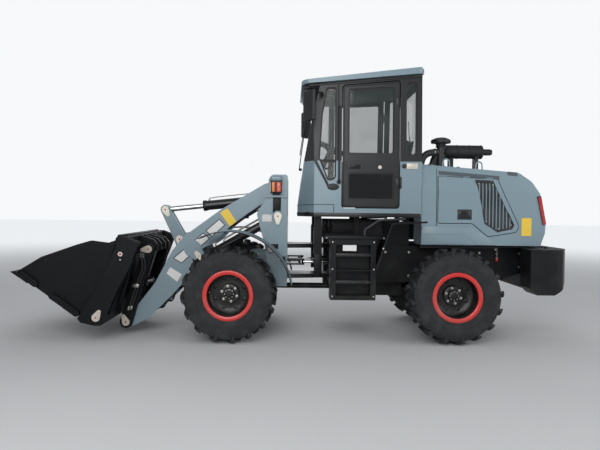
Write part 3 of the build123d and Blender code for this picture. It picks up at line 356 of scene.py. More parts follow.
FINISH_MAKERS = {
    "body_paint": body_paint,
    "frame_black": frame_black,
    "cab_black": cab_black,
    "bucket_paint": bucket_paint,
    "tyre_rubber": tyre_rubber,
    "clear_glass": lambda: pane("clear_glass", 0.0),
    # The door panes carry painted shade below 1.955 m.
    "door_glass": lambda: pane("door_glass", 1.955),
    "frame_black_behind_towers": frame_black_behind_towers,
    "seat_cloth": seat_cloth,
    "rim_black": lambda: paint("rim_black", (0.006, 0.0065, 0.0075), 0.33, 0.2, 0.1, gloss=0.35),
    "rim_red": lambda: paint("rim_red", tuple(look().rim_colour), 0.32, dust=0.35),
    "cylinder_black": lambda: paint("cylinder_black", (0.008, 0.0085, 0.0095), 0.28, 0.12, gloss=0.4),
    "chrome": lambda: plain("chrome", (0.62, 0.63, 0.64), 0.12, 1.0, 20.0, 0.02, 0.03),
    "zinc": lambda: plain("zinc", (0.42, 0.41, 0.38), 0.34, 1.0, 60.0, 0.08, 0.10),
    "brass": lambda: plain("brass", (0.50, 0.36, 0.13), 0.34, 1.0, 60.0, 0.08, 0.10),
    "dark_iron": lambda: plain("dark_iron", (0.060, 0.060, 0.062), 0.55, 0.3, 90.0, 0.3),
    "worn_steel": lambda: plain("worn_steel", (0.17, 0.165, 0.16), 0.42, 0.8, 30.0, 0.3, 0.35),
    "moulded_black": lambda: plain("moulded_black", (0.010, 0.0105, 0.012), 0.5, 0.0, 400.0, 0.25),
    "hose_rubber": lambda: plain("hose_rubber", (0.020, 0.020, 0.021), 0.5, 0.0, 500.0, 0.3),
    "seal_rubber": lambda: plain("seal_rubber", (0.012, 0.012, 0.012), 0.6, 0.0, 200.0, 0.15),
    "muffler_black": lambda: plain("muffler_black", (0.014, 0.0145, 0.016), 0.6, 0.2, 110.0, 0.3, 0.3),
    "amber_lens": lambda: lens("amber_lens", (0.85, 0.20, 0.012)),
    "red_lens": lambda: lens("red_lens", (0.62, 0.012, 0.010)),
    "white_lens": lambda: lens("white_lens", (0.72, 0.74, 0.75)),
    "mirror_glass": lambda: plain("mirror_glass", (0.75, 0.77, 0.78), 0.05, 1.0, 5.0, 0.0, 0.01),
    "blank_yellow": lambda: paint("blank_yellow", (0.78, 0.52, 0.03), 0.4, dust=0.1, coat=0.4),
    "blank_white": lambda: paint("blank_white", (0.70, 0.70, 0.68), 0.4, dust=0.1, coat=0.4),
    "warning_red": lambda: paint("warning_red", (0.48, 0.022, 0.016), 0.35, dust=0.2),
    "plate_zinc": lambda: plain("plate_zinc", (0.58, 0.54, 0.47), 0.42, 0.55, 60.0, 0.08, 0.10),
    "data_plate": lambda: plain("data_plate", (0.36, 0.36, 0.36), 0.35, 0.8, 60.0, 0.05, 0.10),
    "pipe_black": lambda: paint("pipe_black", (0.010, 0.011, 0.013), 0.30, 0.12, gloss=0.4),
    "gloss_black": lambda: plain("gloss_black", (0.006, 0.006, 0.007), 0.22, 0.0, 40.0, 0.03),
    "worn_black": worn_black,
    "decal_black": lambda: paint("decal_black", (0.015, 0.015, 0.016), 0.35, dust=0.1),
    "decal_grey": lambda: paint("decal_grey", (0.060, 0.080, 0.092), 0.35, dust=0.1),
    "orange_lens": lambda: lens("orange_lens", (0.80, 0.075, 0.012)),
    "grille_mesh": grille_mesh,
}


# Shapes


SMOOTH_BELOW = radians(35)


def verts_of(geom):
    """The vertices among what an operator returned."""
    return [g for g in geom if isinstance(g, bmesh.types.BMVert)]


def turn_to(direction):
    """Rotation that takes +Z to a direction."""
    return Vector(direction).to_track_quat("Z", "Y").to_matrix().to_4x4()


class Shape:
    """A mesh built up from solid pieces with bmesh operators."""

    def __init__(self):
        self.bm = bmesh.new()

    def _bevel(self, edges, width, steps):
        bmesh.ops.bevel(
            self.bm, geom=list(edges), offset=width, offset_type="OFFSET", segments=steps,
            profile=0.5, affect="EDGES", material=-1, clamp_overlap=True,
        )

    def _round(self, verts, width, steps):
        if width:
            self._bevel({e for v in verts for e in v.link_edges}, width, steps)

    def _all(self):
        return self.bm.verts[:] + self.bm.edges[:] + self.bm.faces[:]

    def block(self, low, high, bevel=0.0, steps=2, turn=None):
        """Box between two corners, turned about its middle."""
        centre = (Vector(low) + Vector(high)) / 2
        size = Vector(high) - Vector(low)
        place = Matrix.Translation(centre) @ (turn or Matrix.Identity(4))
        place = place @ Matrix.Diagonal((abs(size.x), abs(size.y), abs(size.z), 1))
        made = bmesh.ops.create_cube(self.bm, size=1.0, matrix=place)["verts"]
        self._round(made, bevel, steps)
        return self

    def rod(self, start, end, radius, end_radius=None, steps=20, bevel=0.0):
        """Round bar or cone between two points."""
        start, end = Vector(start), Vector(end)
        axis = end - start
        place = Matrix.Translation((start + end) / 2) @ turn_to(axis)
        made = bmesh.ops.create_cone(
            self.bm, cap_ends=True, segments=steps, radius1=radius,
            radius2=radius if end_radius is None else end_radius, depth=axis.length, matrix=place,
        )["verts"]
        if bevel:
            edges = {e for v in made for e in v.link_edges}
            rims = {e for e in edges if len(e.link_faces[0].verts) != len(e.link_faces[1].verts)}
            self._bevel(rims, bevel, 2)
        return self

    def bars(self, points, radius):
        """Thin round bars from point to point."""
        for start, end in zip(points, points[1:]):
            self.rod(start, end, radius, steps=8)
        return self

    def ball(self, centre, radius, squeeze=(1, 1, 1), steps=16):
        """Ball, stretched along the axes."""
        place = Matrix.Translation(centre) @ Matrix.Diagonal((*squeeze, 1))
        bmesh.ops.create_uvsphere(
            self.bm, u_segments=steps, v_segments=steps // 2, radius=radius, matrix=place
        )
        return self

    def plate(self, outline, depth, bevel=0.0, steps=2):
        """Plate whose face is a flat outline of points, pushed out by a depth."""
        verts = [self.bm.verts.new(p) for p in outline]
        face = self.bm.faces.new(verts)
        pushed = verts_of(bmesh.ops.extrude_face_region(self.bm, geom=[face])["geom"])
        bmesh.ops.translate(self.bm, verts=pushed, vec=Vector(depth))
        self._round(verts + pushed, bevel, steps)
        return self

    def spun(self, profile, centre, axis, turns=48):
        """Ring whose section of (distance, along) points is turned about an axis."""
        place = Matrix.Translation(centre) @ turn_to(axis)
        verts = [self.bm.verts.new(place @ Vector((r, 0, h))) for r, h in profile]
        edges = [self.bm.edges.new(ends) for ends in pairs(verts)]
        bmesh.ops.spin(
            self.bm, geom=verts + edges, cent=centre, axis=axis, dvec=(0, 0, 0), angle=tau,
            steps=turns, use_merge=True, use_duplicate=False,
        )
        return self

    def tube(self, points, radius, steps=10):
        """Bent tube along points, its bends rounded by a smooth curve."""
        curve = bpy.data.curves.new("run", "CURVE")
        curve.dimensions = "3D"
        curve.bevel_depth = radius
        curve.bevel_resolution = max(1, steps // 4)
        curve.use_fill_caps = True
        line = curve.splines.new("NURBS")
        line.points.add(len(points) - 1)
        for spot, point in zip(line.points, points):
            spot.co = (*point, 1)
        line.order_u = 3
        line.use_endpoint_u = True
        line.resolution_u = 8
        holder = bpy.data.objects.new("run", curve)
        mesh = bpy.data.meshes.new_from_object(holder)
        self.bm.from_mesh(mesh)
        bpy.data.objects.remove(holder)
        bpy.data.curves.remove(curve)
        bpy.data.meshes.remove(mesh)
        return self

    def hulled(self, discs, depth):
        """Plate round two or more discs, pushed out by a depth."""
        depth = Vector(depth)
        verts = []
        for centre, radius in discs:
            for shift in (Vector((0, 0, 0)), depth):
                place = Matrix.Translation(Vector(centre) + shift) @ turn_to(depth)
                ring = bmesh.ops.create_circle(self.bm, radius=radius, segments=28, matrix=place)
                verts += ring["verts"]
        made = bmesh.ops.convex_hull(self.bm, input=verts)
        bmesh.ops.delete(self.bm, geom=verts_of(made["geom_interior"]), context="VERTS")
        loose = [e for e in self.bm.edges if not e.link_faces]
        bmesh.ops.delete(self.bm, geom=loose, context="EDGES")
        return self

    def bolt(self, place, axis, size, washer=True):
        """Hexagon head on a washer."""
        place, axis = Vector(place), Vector(axis).normalized()
        if washer:
            self.rod(place - axis * size * 0.1, place + axis * size * 0.14, size * 1.05, steps=16)
        top = place + axis * size * 0.75
        self.rod(place, top, size * 0.8, steps=6, bevel=size * 0.08)
        return self

    def mirrored(self):
        """Adds the mirror image on the machine's other side."""
        bmesh.ops.mirror(self.bm, geom=self._all(), matrix=Matrix.Identity(4), axis="Y", merge_dist=-1)
        return self

    def turned(self, axis, angles):
        """Copies everything so far to more angles about an axis through the origin."""
        geom = self._all()
        for angle in angles:
            verts = verts_of(bmesh.ops.duplicate(self.bm, geom=geom)["geom"])
            turn = Matrix.Rotation(angle, 3, axis)
            bmesh.ops.rotate(self.bm, verts=verts, cent=(0, 0, 0), matrix=turn)
        return self

    def bent(self, radius):
        """Bends a flat piece above the Y axis round it."""
        for vert in self.bm.verts:
            turn = Matrix.Rotation(vert.co.x / radius, 3, "Y")
            vert.co = turn @ Vector((0, vert.co.y, vert.co.z))
        return self

    def done(self, name, body, material, slot):
        """Makes the piece, sets its normals outwards and puts it on its body."""
        bmesh.ops.remove_doubles(self.bm, verts=self.bm.verts, dist=1e-6)
        bmesh.ops.recalc_face_normals(self.bm, faces=self.bm.faces)
        for face in self.bm.faces:
            face.smooth = True
        for edge in self.bm.edges:
            edge.smooth = len(edge.link_faces) == 2 and edge.calc_face_angle(0) < SMOOTH_BELOW
        mesh = bpy.data.meshes.new(name)
        self.bm.to_mesh(mesh)
        self.bm.free()
        mesh.materials.append(finish(material))
        piece = bpy.data.objects.new(name, mesh)
        bpy.context.scene.collection.objects.link(piece)
        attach(piece, body)
        return piece


def look():
    """The sizes and colours that a user may change."""
    return bpy.context.scene.loader_look


class LoaderLook(bpy.types.PropertyGroup):
    """Sizes and colours of the machine"""

    body_colour: FloatVectorProperty(
        name="Body colour", description="Paint of hood, cab, arm and front frame",
        subtype="COLOR", size=3, default=(0.185, 0.262, 0.302), min=0, max=1,
    )
    rim_colour: FloatVectorProperty(
        name="Rim ring colour", description="Paint of the rings round the rims",
        subtype="COLOR", size=3, default=(0.60, 0.018, 0.012), min=0, max=1,
    )
    lug_count: IntProperty(
        name="Tread bars", description="Tread bars on each shoulder of a tyre",
        default=16, min=10, max=24,
    )
    seal_width: FloatProperty(
        name="Window seals", description="Width of the rubber round each pane",
        default=0.016, min=0.008, max=0.03, unit="LENGTH",
    )


NODE_FINISHES = {
    "body_paint": (
        "lift_arm", "rocker", "hood", "hood_rear", "cab_base", "engine_cover_left",
        "engine_cover_right", "cab_roof",
    ),
    "frame_black_behind_towers": ("front_frame",),
    "bucket_paint": ("bucket_back", "clam", "hitch"),
    "frame_black": (
        "rear_frame", "transmission", "counterweight", "rear_axle", "front_axle", "side_boxes",
        "rear_fenders", "tilt_link", "hydraulic_tank", "front_fenders",
    ),
    "cab_black": ("cab_frame", "door_left", "door_right"),
    "moulded_black": ("mirrors", "steering_column", "air_intake"),
    "muffler_black": ("exhaust",),
    "cylinder_black": (
        "tilt_barrel", "lift_barrels", "clam_barrels", "steer_barrel_left", "steer_barrel_right",
    ),
    "chrome": ("tilt_rod", "lift_rods", "clam_rods", "steer_rod_left", "steer_rod_right"),
    "zinc": ("bucket_pins", "rocker_pin", "link_pin"),
    "clear_glass": ("cab_glass",),
    "door_glass": ("door_glass_left", "door_glass_right"),
    "seat_cloth": ("seat",),
    "dark_iron": ("engine_block",),
    "red_lens": ("tail_lamps",),
    "amber_lens": ("front_lamps",),
    "hose_rubber": ("handrails",),
    "tyre_rubber": tuple(f"tyre_{end}_{side}" for end, side, _ in WHEELS),
    "rim_black": tuple(f"rim_{end}_{side}" for end, side, _ in WHEELS),
}


class LOADER_OT_node_finishes(bpy.types.Operator):
    """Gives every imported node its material"""

    bl_idname = "loader.node_finishes"
    bl_label = "Node finishes"

    def execute(self, context):
        for name, nodes in NODE_FINISHES.items():
            for node in nodes:
                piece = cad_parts[node]
                piece.data.materials.clear()
                piece.data.materials.append(finish(name))
        return {"FINISHED"}


# Pieces of the wheels


def tyre_section():
    """Outline of the tyre's casing as (radius, distance from the middle)."""
    outer = [(0.262, 0.168), (0.284, 0.186), (0.330, 0.196), (0.392, 0.199), (0.440, 0.196),
             (0.472, 0.184), (0.486, 0.150), (0.490, 0.080)]
    return outer + [(r, -h) for r, h in reversed(outer)]


class LOADER_OT_tyres(bpy.types.Operator):
    """Makes the four tyres with their slanted tread bars"""

    bl_idname = "loader.tyres"
    bl_label = "Tyres"

    def execute(self, context):
        for end, side, _ in WHEELS:
            node = f"tyre_{end}_{side}"
            centre = middle(node)
            tread = self.tread(look().lug_count)
            bmesh.ops.translate(tread.bm, verts=tread.bm.verts, vec=centre)
            tread.spun(tyre_section(), centre, (0, 1, 0), 72)
            for r, h in ((0.300, 0.188), (0.352, 0.1965), (0.446, 0.193)):
                foot, crest = h - 0.004, h + 0.003
                ring = [(r - 0.005, foot), (r - 0.002, crest), (r + 0.002, crest), (r + 0.005, foot)]
                for hand in (1, -1):
                    tread.spun([(a, hand * b) for a, b in ring], centre, (0, 1, 0), 72)
            piece = tread.done(f"tread_{end}_{side}", f"wheel_{end}_{side}", "tyre_rubber", "tyre_rubber")
            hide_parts(node)
        return {"FINISHED"}

    def tread(self, count):
        """Slanted bars all round both shoulders, about the wheel's middle."""
        lugs = Shape()
        outline = [(-26, -14), (26, -14), (56, 110), (92, 198), (44, 198), (4, 110)]
        base = [Vector((x, y, 480)) / 1000 for x, y in outline]
        lugs.plate(base, (0, 0, TYRE_R - 0.481), 0.005, 1)
        foot = [(46, 500), (90, 500), (76, 412), (60, 412)]
        lugs.plate([Vector((x, 186, z)) / 1000 for x, z in foot], (0, 0.0125, 0), 0.004, 1)
        for vert in lugs.bm.verts:
            if vert.co.z > 0.51 and vert.co.y > 0.15:
                vert.co.z -= (vert.co.y - 0.15) * 0.55
        lugs.bent(TYRE_R)
        verts = verts_of(bmesh.ops.duplicate(lugs.bm, geom=lugs._all())["geom"])
        bmesh.ops.scale(lugs.bm, verts=verts, vec=(1, -1, 1))
        shift = Matrix.Rotation(pi / count, 3, "Y")
        bmesh.ops.rotate(lugs.bm, verts=verts, cent=(0, 0, 0), matrix=shift)
        return lugs.turned("Y", [tau * i / count for i in range(1, count)])


# Sections of the rim as (radius, distance outwards from the tyre's middle)
RIM_RING = [
    (0.2405, 0.105), (0.236, 0.150), (0.229, 0.170), (0.231, 0.179), (0.242, 0.1845), (0.262, 0.1875),
    (0.2745, 0.184), (0.2765, 0.178), (0.270, 0.174), (0.2425, 0.172), (0.2425, 0.105),
]
RIM_DISH = [
    (0.240, 0.150), (0.239, 0.030), (0.228, -0.020), (0.196, -0.046), (0.160, -0.050),
    (0.112, -0.046), (0.108, 0.008), (0.100, 0.012), (0.066, 0.012), (0.066, 0.008),
    (0.104, 0.004), (0.106, -0.052), (0.236, -0.053), (0.2405, 0.150),
]
HUB_CAP = [
    (0.058, 0.0355), (0.060, 0.0375), (0.040, 0.0395), (0.030, 0.048), (0.004, 0.050), (0.004, 0.036),
]


class LOADER_OT_rims(bpy.types.Operator):
    """Makes the red rings, the wheel nuts, the hub bolts and the valves of the rims"""

    bl_idname = "loader.rims"
    bl_label = "Rims"

    def execute(self, context):
        for end, side, sign in WHEELS:
            body = f"wheel_{end}_{side}"
            centre = middle(f"tyre_{end}_{side}")
            out = Vector((0, sign, 0))
            ring = Shape()
            ring.spun(RIM_RING, centre, out, 72)
            ring.done(f"rim_ring_{end}_{side}", body, "rim_red", "rim_paint")
            dish = Shape()
            dish.spun(RIM_DISH, centre, out, 72)
            for spoke in spokes(8, pi / 8):
                dish.ball(centre + spoke * 0.1775 - out * 0.05125, 0.026, (1, 0.28, 1), 16)
            dish.spun(HUB_CAP, centre, out, 40)
            dish.done(f"rim_dish_{end}_{side}", body, "rim_black", "rim_paint")
            nuts = Shape()
            for spoke in spokes(6, 0.3):
                spot = centre + spoke * 0.0865 + out * 0.012
                nuts.bolt(spot, out, 0.015)
                nuts.rod(spot, spot + out * 0.021, 0.0062, 0.005, 12)
            for spoke in spokes(8):
                nuts.bolt(centre + spoke * 0.047 + out * 0.038, out, 0.0062)
            nuts.done(f"wheel_nuts_{end}_{side}", body, "zinc", "pin_steel")
            valve = Shape()
            start = centre + Vector((0.218, 0, 0.02)) - out * 0.015
            valve.rod(start, start + out * 0.050, 0.0052, steps=12)
            valve.rod(start + out * 0.048, start + out * 0.062, 0.0066, 0.006, 12)
            valve.done(f"valve_{end}_{side}", body, "brass", "pin_steel")
        return {"FINISHED"}


# Pins, plates and labels


def pin_plate(shape, spot, foot, y, out):
    """Drop-shaped keeper plate on a pin's end, with its bolt and grease nipple."""
    head = at(spot[0], y, spot[1])
    tail = at(foot[0], y, foot[1])
    step = Vector((0, out * 0.007, 0))
    shape.hulled([(head, 0.044), (tail, 0.022)], step)
    shape.bolt(tail + step, (0, out, 0), 0.010)
    shape.rod(head + step * 0.5, head + step * 2.3, 0.0105, 0.007, 14, 0.001)


class LOADER_OT_pin_plates(bpy.types.Operator):
    """Puts the keeper plates, their bolts and red caps on the ends of the pins"""

    bl_idname = "loader.pin_plates"
    bl_label = "Pin plates"

    # body, the pin as (x, z), the plate's foot as (x, z), distance of the plate from the middle
    PLACES = (
        ("front_frame", (1975, 1725), (1975, 1652), 514),
        ("front_frame", (1977, 1395), (1977, 1318), 514),
        ("lift_arm", (2860, 885), (2920, 955), 464),
        ("rocker", (3370, 1455), (3338, 1392), 64),
        ("lift_arm", (3184, 1097), (3184, 1040), 116),
        ("hitch", (3475, 995), (3545, 985), 482),
        ("lift_arm", (3728, 147), (3755, 215), 490),
        ("hitch", (3905, 290), (3872, 352), 1000),
    )
    CLAM_HINGE = (3647, 975)

    def execute(self, context):
        plates, caps = {}, {}
        for body, spot, foot, y in self.PLACES:
            for _, sign in SIDES:
                plate = plates.setdefault(body, Shape())
                pin_plate(plate, spot, foot, sign * y, sign)
                cap = caps.setdefault(body, Shape())
                centre = at(spot[0], sign * (y + 8), spot[1])
                cap.ball(centre + Vector((0, sign * 0.004, 0)), 0.0095, (1, 0.8, 1), 14)
        x, z = self.CLAM_HINGE
        for _, sign in SIDES:
            plates["hitch"].rod(at(x, sign * 999, z), at(x, sign * 1003, z), 0.026, 0.024, 24)
            plates["hitch"].bolt(at(x, sign * 1000, z - 62), (0, sign, 0), 0.008)
            caps["hitch"].ball(at(x, sign * 1003, z), 0.013, (1, 0.6, 1), 14)
        for body in plates:
            plates[body].done(f"pin_plates_{body}", body, "plate_zinc", "pin_steel")
            caps[body].done(f"pin_caps_{body}", body, "warning_red", "lamp_plastic")
        return {"FINISHED"}


class LOADER_OT_labels(bpy.types.Operator):
    """Puts blank labels, a blank data plate and plain stripes where the machine carries signs"""

    bl_idname = "loader.labels"
    bl_label = "Blank labels"

    # name, body, material, distance from the middle, corners as (x, z)
    LABELS = (
        ("arm_label", "lift_arm", "blank_yellow", 450,
         ((2651, 1426), (2565, 1478), (2460, 1325), (2537, 1266))),
        ("arm_plate", "lift_arm", "blank_white", 450,
         ((3226, 784), (3090, 703), (3145, 614), (3268, 712))),
        ("step_label", "rear_frame", "blank_white", 850,
         ((1250, 1088), (1100, 1088), (1100, 1024), (1250, 1024))),
        ("rear_label", "rear_frame", "blank_yellow", 605,
         ((-819, 1404), (-932, 1404), (-932, 1200), (-819, 1200))),
        ("tower_plate", "front_frame", "data_plate", 500,
         ((2160, 1412), (2046, 1412), (2046, 1330), (2160, 1330))),
    )

    def execute(self, context):
        for name, body, material, y, corners in self.LABELS:
            shape = Shape()
            for _, sign in SIDES:
                outline = [at(x, sign * y, z) for x, z in corners]
                shape.plate(outline, (0, sign * 0.0012, 0), 0.0004, 1)
            shape.done(name, body, material, "lamp_plastic")
        rivets = Shape()
        for x in (2152, 2054):
            for z in (1404, 1338):
                rivets.ball(at(x, 501.2, z), 0.004, steps=10)
        rivets.mirrored().done("tower_plate_rivets", "front_frame", "zinc", "pin_steel")
        self.arm_stripe()
        self.hood_band()
        return {"FINISHED"}

    def arm_stripe(self):
        """Three plain slanted bars along the arm, edged in black."""
        a, b, c, d = (Vector(p) for p in ((3205, 884), (2640, 1372), (2600, 1272), (3126, 800)))
        for name, material, inset, y in (
            ("arm_band_edge", "decal_black", 0, 450.0), ("arm_band", "blank_white", 1, 450.9)
        ):
            shape = Shape()
            for i in range(3):
                low = i / 3 + 0.012 + 0.014 * inset
                high = (i + 1) / 3 - 0.03 - 0.014 * inset
                trim = 0.10 * inset
                quad = []
                for along, across in ((low, trim), (high, trim), (high, 1 - trim), (low, 1 - trim)):
                    slant = along + 0.05 * across
                    quad.append(a.lerp(b, slant).lerp(d.lerp(c, slant), across))
                for _, sign in SIDES:
                    shape.plate([at(p.x, sign * y, p.y) for p in quad], (0, sign * 0.0009, 0))
            shape.done(name, "lift_arm", material, "lamp_plastic")

    def hood_band(self):
        """Dark band along the top edge of the hood and of the part behind its split."""
        for name, x0, x1 in (("hood_band", 140, -560), ("hood_band_rear", -655, -770)):
            shape = Shape()
            for _, sign in SIDES:
                quad = []
                for x, z in ((x0, 1936), (x1, 1936), (x1, 1892), (x0, 1892)):
                    height = z - (x0 - x) * 0.076
                    quad.append(at(x, sign * hood_side(height), height))
                shape.plate(quad, (0, sign * 0.0012, 0.0002))
            shape.done(name, "rear_frame", "decal_grey", "lamp_plastic")


def hood_side(z):
    """Distance of the hood's side from the middle at a height, in millimetres."""
    return 605 if z < 1700 else 605 - (z - 1700) * 45 / 330


# Pieces of the bucket and the arm


class LOADER_OT_bucket(bpy.types.Operator):
    """Fits the bucket with its edge bolts, gauge marks, lip bar, gussets and wear strips"""

    bl_idname = "loader.bucket"
    bl_label = "Bucket fittings"

    def execute(self, context):
        half = (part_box("clam")[1].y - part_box("clam")[0].y) / 2 * 1000
        bolts = Shape()
        edge = Vector((4819 - 4636, 0, 776 - 652)).normalized()
        under = Vector((edge.z, 0, -edge.x))
        count = 9
        for i in range(count):
            y = -half + 110 + (2 * half - 220) * i / (count - 1)
            for x, z in ((4690, 695), (4742, 729)):
                bolts.bolt(at(x - 6, y, z - 8) + under * 0.004, under, 0.012)
        bolts.done("edge_bolts", "clam", "worn_steel", "pin_steel")
        strip = Shape()
        tip = drawn(2 - half, (4819, 776), (4787, 757), (4749, 731), (4746, 735), (4785, 765))
        strip.plate(tip, (0, (2 * half - 4) / 1000, 0))
        strip.done("worn_edge", "clam", "worn_steel", "grey_paint")
        marks = Shape()
        slope = Matrix.Rotation(radians(-25), 4, "Y")
        for i in range(9):
            x, z = 3886 + 22 * i, 612 - 21 * i
            for _, sign in SIDES:
                low, high = at(x - 9, sign * 999, z - 5), at(x + 9, sign * 1004, z + 5)
                marks.block(low, high, 0.0015, 1, slope)
        marks.done("gauge_marks", "hitch", "bucket_paint", "black_paint")
        ribs = Shape()
        ribs.rod(at(3688, -900, 1160), at(3688, 900, 1160), 0.020, steps=16, bevel=0.003)
        ribs.rod(at(3860, -890, 240), at(3860, 890, 240), 0.012, steps=12)
        for y in (-700, -240, 240, 700):
            for rib in (
                ((3604, 860), (3560, 930), (3560, 1080), (3600, 1145)),
                ((3770, 360), (3700, 420), (3600, 800), (3613, 840)),
            ):
                ribs.plate(drawn(y, *rib), (0, 0.016, 0), 0.003)
        ribs.done("bucket_ribs", "hitch", "bucket_paint", "black_paint")
        for side, sign in SIDES:
            trim = Shape()
            for ends in (
                ((3460, 1100), (3556, 842)), ((3690, 580), (3790, 348)), ((3684, 1150), (3796, 807))
            ):
                trim.rod(*drawn(sign * 992, *ends), 0.0095, steps=10)
            trim.done(f"bucket_edge_bars_{side}", "hitch", "bucket_paint", "black_paint")
        weld = Shape()
        for _, sign in SIDES:
            weld.bars(drawn(sign * 947, (4130, 306), (4407, 508), (4651, 680)), 0.006)
        weld.done("clam_welds", "clam", "bucket_paint", "black_paint")
        return {"FINISHED"}


class LOADER_OT_arm(bpy.types.Operator):
    """Runs the steel pipes along the arm and fits its clamps, elbows and grease lines"""

    bl_idname = "loader.arm"
    bl_label = "Arm pipes"

    def execute(self, context):
        pipes, fittings, clamps = Shape(), Shape(), Shape()
        for _, sign in SIDES:
            for i, drop in enumerate((70, 100)):
                run = drawn(
                    sign * (385 - 14 * i),
                    (2120, 1640 - drop), (2400, 1470 - drop), (2700, 1290 - drop), (3000, 1060 - drop),
                    (3120, 900 - drop), (3260, 650 - drop * 0.6), (3400, 480 - drop * 0.4),
                )
                pipes.tube(run, 0.009)
                for end, ahead in ((run[0], run[1]), (run[-1], run[-2])):
                    axis = (end - ahead).normalized()
                    fittings.rod(end - axis * 0.012, end + axis * 0.020, 0.014, steps=6, bevel=0.001)
                    fittings.rod(end + axis * 0.018, end + axis * 0.050, 0.011, steps=14)
            for x, z in ((2400, 1384), (2700, 1204), (3080, 884)):
                clamps.block(at(x - 22, sign * 400, z - 34), at(x + 22, sign * 352, z + 24), 0.004)
                clamps.rod(at(x, sign * 352, z - 6), at(x, sign * 345, z - 6), 0.009, steps=6)
        pipes.done("arm_pipes", "lift_arm", "pipe_black", "cylinder_paint")
        fittings.done("arm_pipe_fittings", "lift_arm", "zinc", "pin_steel")
        clamps.done("arm_pipe_clamps", "lift_arm", "moulded_black", "dark_plastic")
        loop, bar, seams = Shape(), Shape(), Shape()
        for y in (250, -250):
            bends = ((3270, 640), (3300, 420), (3330, 285), (3395, 275), (3430, 370), (3400, 520))
            loop.tube(drawn(y, *bends), 0.011)
        loop.done("arm_loop_pipes", "lift_arm", "hose_rubber", "dark_plastic")
        for x, z in ((3275, 640), (3398, 515)):
            for _, sign in SIDES:
                bar.rod(at(x, sign * 225, z), at(x, sign * 400, z), 0.016, steps=14)
        bar.done("arm_loop_bars", "lift_arm", "frame_black", "black_paint")
        for y in (400, 450):
            for x in (2990, 2930):
                seams.ball(at(x, y, 1110), 0.004)
        for _, sign in SIDES:
            tube_seam = [(0.069, 0.0), (0.0845, 0.0), (0.069, 0.0145)]
            seams.spun(tube_seam, at(2960, sign * 400, 1110), (0, -sign, 0), 32)
            boss_seam = [(0.049, 0), (0.061, 0), (0.049, 0.011)]
            seams.spun(boss_seam, at(2860, sign * 464, 885), (0, sign, 0), 28)
        seams.done("arm_welds", "lift_arm", "body_paint", "grey_paint")
        return {"FINISHED"}


class LOADER_OT_hitch(bpy.types.Operator):
    """Fits the hitch with its locking cylinder, pipes and couplings"""

    bl_idname = "loader.hitch"
    bl_label = "Hitch fittings"

    def execute(self, context):
        lock = Shape()
        lock.rod(at(3590, -210, 560), at(3590, 210, 560), 0.030, steps=24, bevel=0.004)
        for _, sign in SIDES:
            lock.rod(at(3590, sign * 210, 560), at(3590, sign * 378, 560), 0.014, steps=16)
        for y in (-150, 150):
            lock.block(at(3560, y - 20, 520), at(3640, y + 20, 600), 0.006)
        lock.done("lock_cylinder", "hitch", "cylinder_black", "cylinder_paint")
        pipes, ends = Shape(), Shape()
        for _, sign in SIDES:
            for lane, run in (
                (520, ((3520, 905), (3480, 800), (3555, 640), (3600, 480), (3650, 330))),
                (546, ((3545, 915), (3505, 800), (3580, 640), (3625, 480), (3672, 330))),
            ):
                y = sign * lane
                pipes.tube(drawn(y, *run), 0.0105)
                (x, z), (foot_x, foot_z) = run[0], run[-1]
                ends.rod(at(x, y, z - 8), at(x + 8, y, z + 42), 0.015, steps=6, bevel=0.001)
                foot = at(foot_x + 14, y, foot_z - 34)
                ends.rod(at(foot_x, y, foot_z + 8), foot, 0.015, steps=6, bevel=0.001)
            ends.block(at(3560, sign * 520 - 22, 560), at(3640, sign * 550 + 22, 600), 0.005)
        pipes.done("hitch_pipes", "hitch", "hose_rubber", "dark_plastic")
        ends.done("hitch_pipe_ends", "hitch", "zinc", "pin_steel")
        return {"FINISHED"}


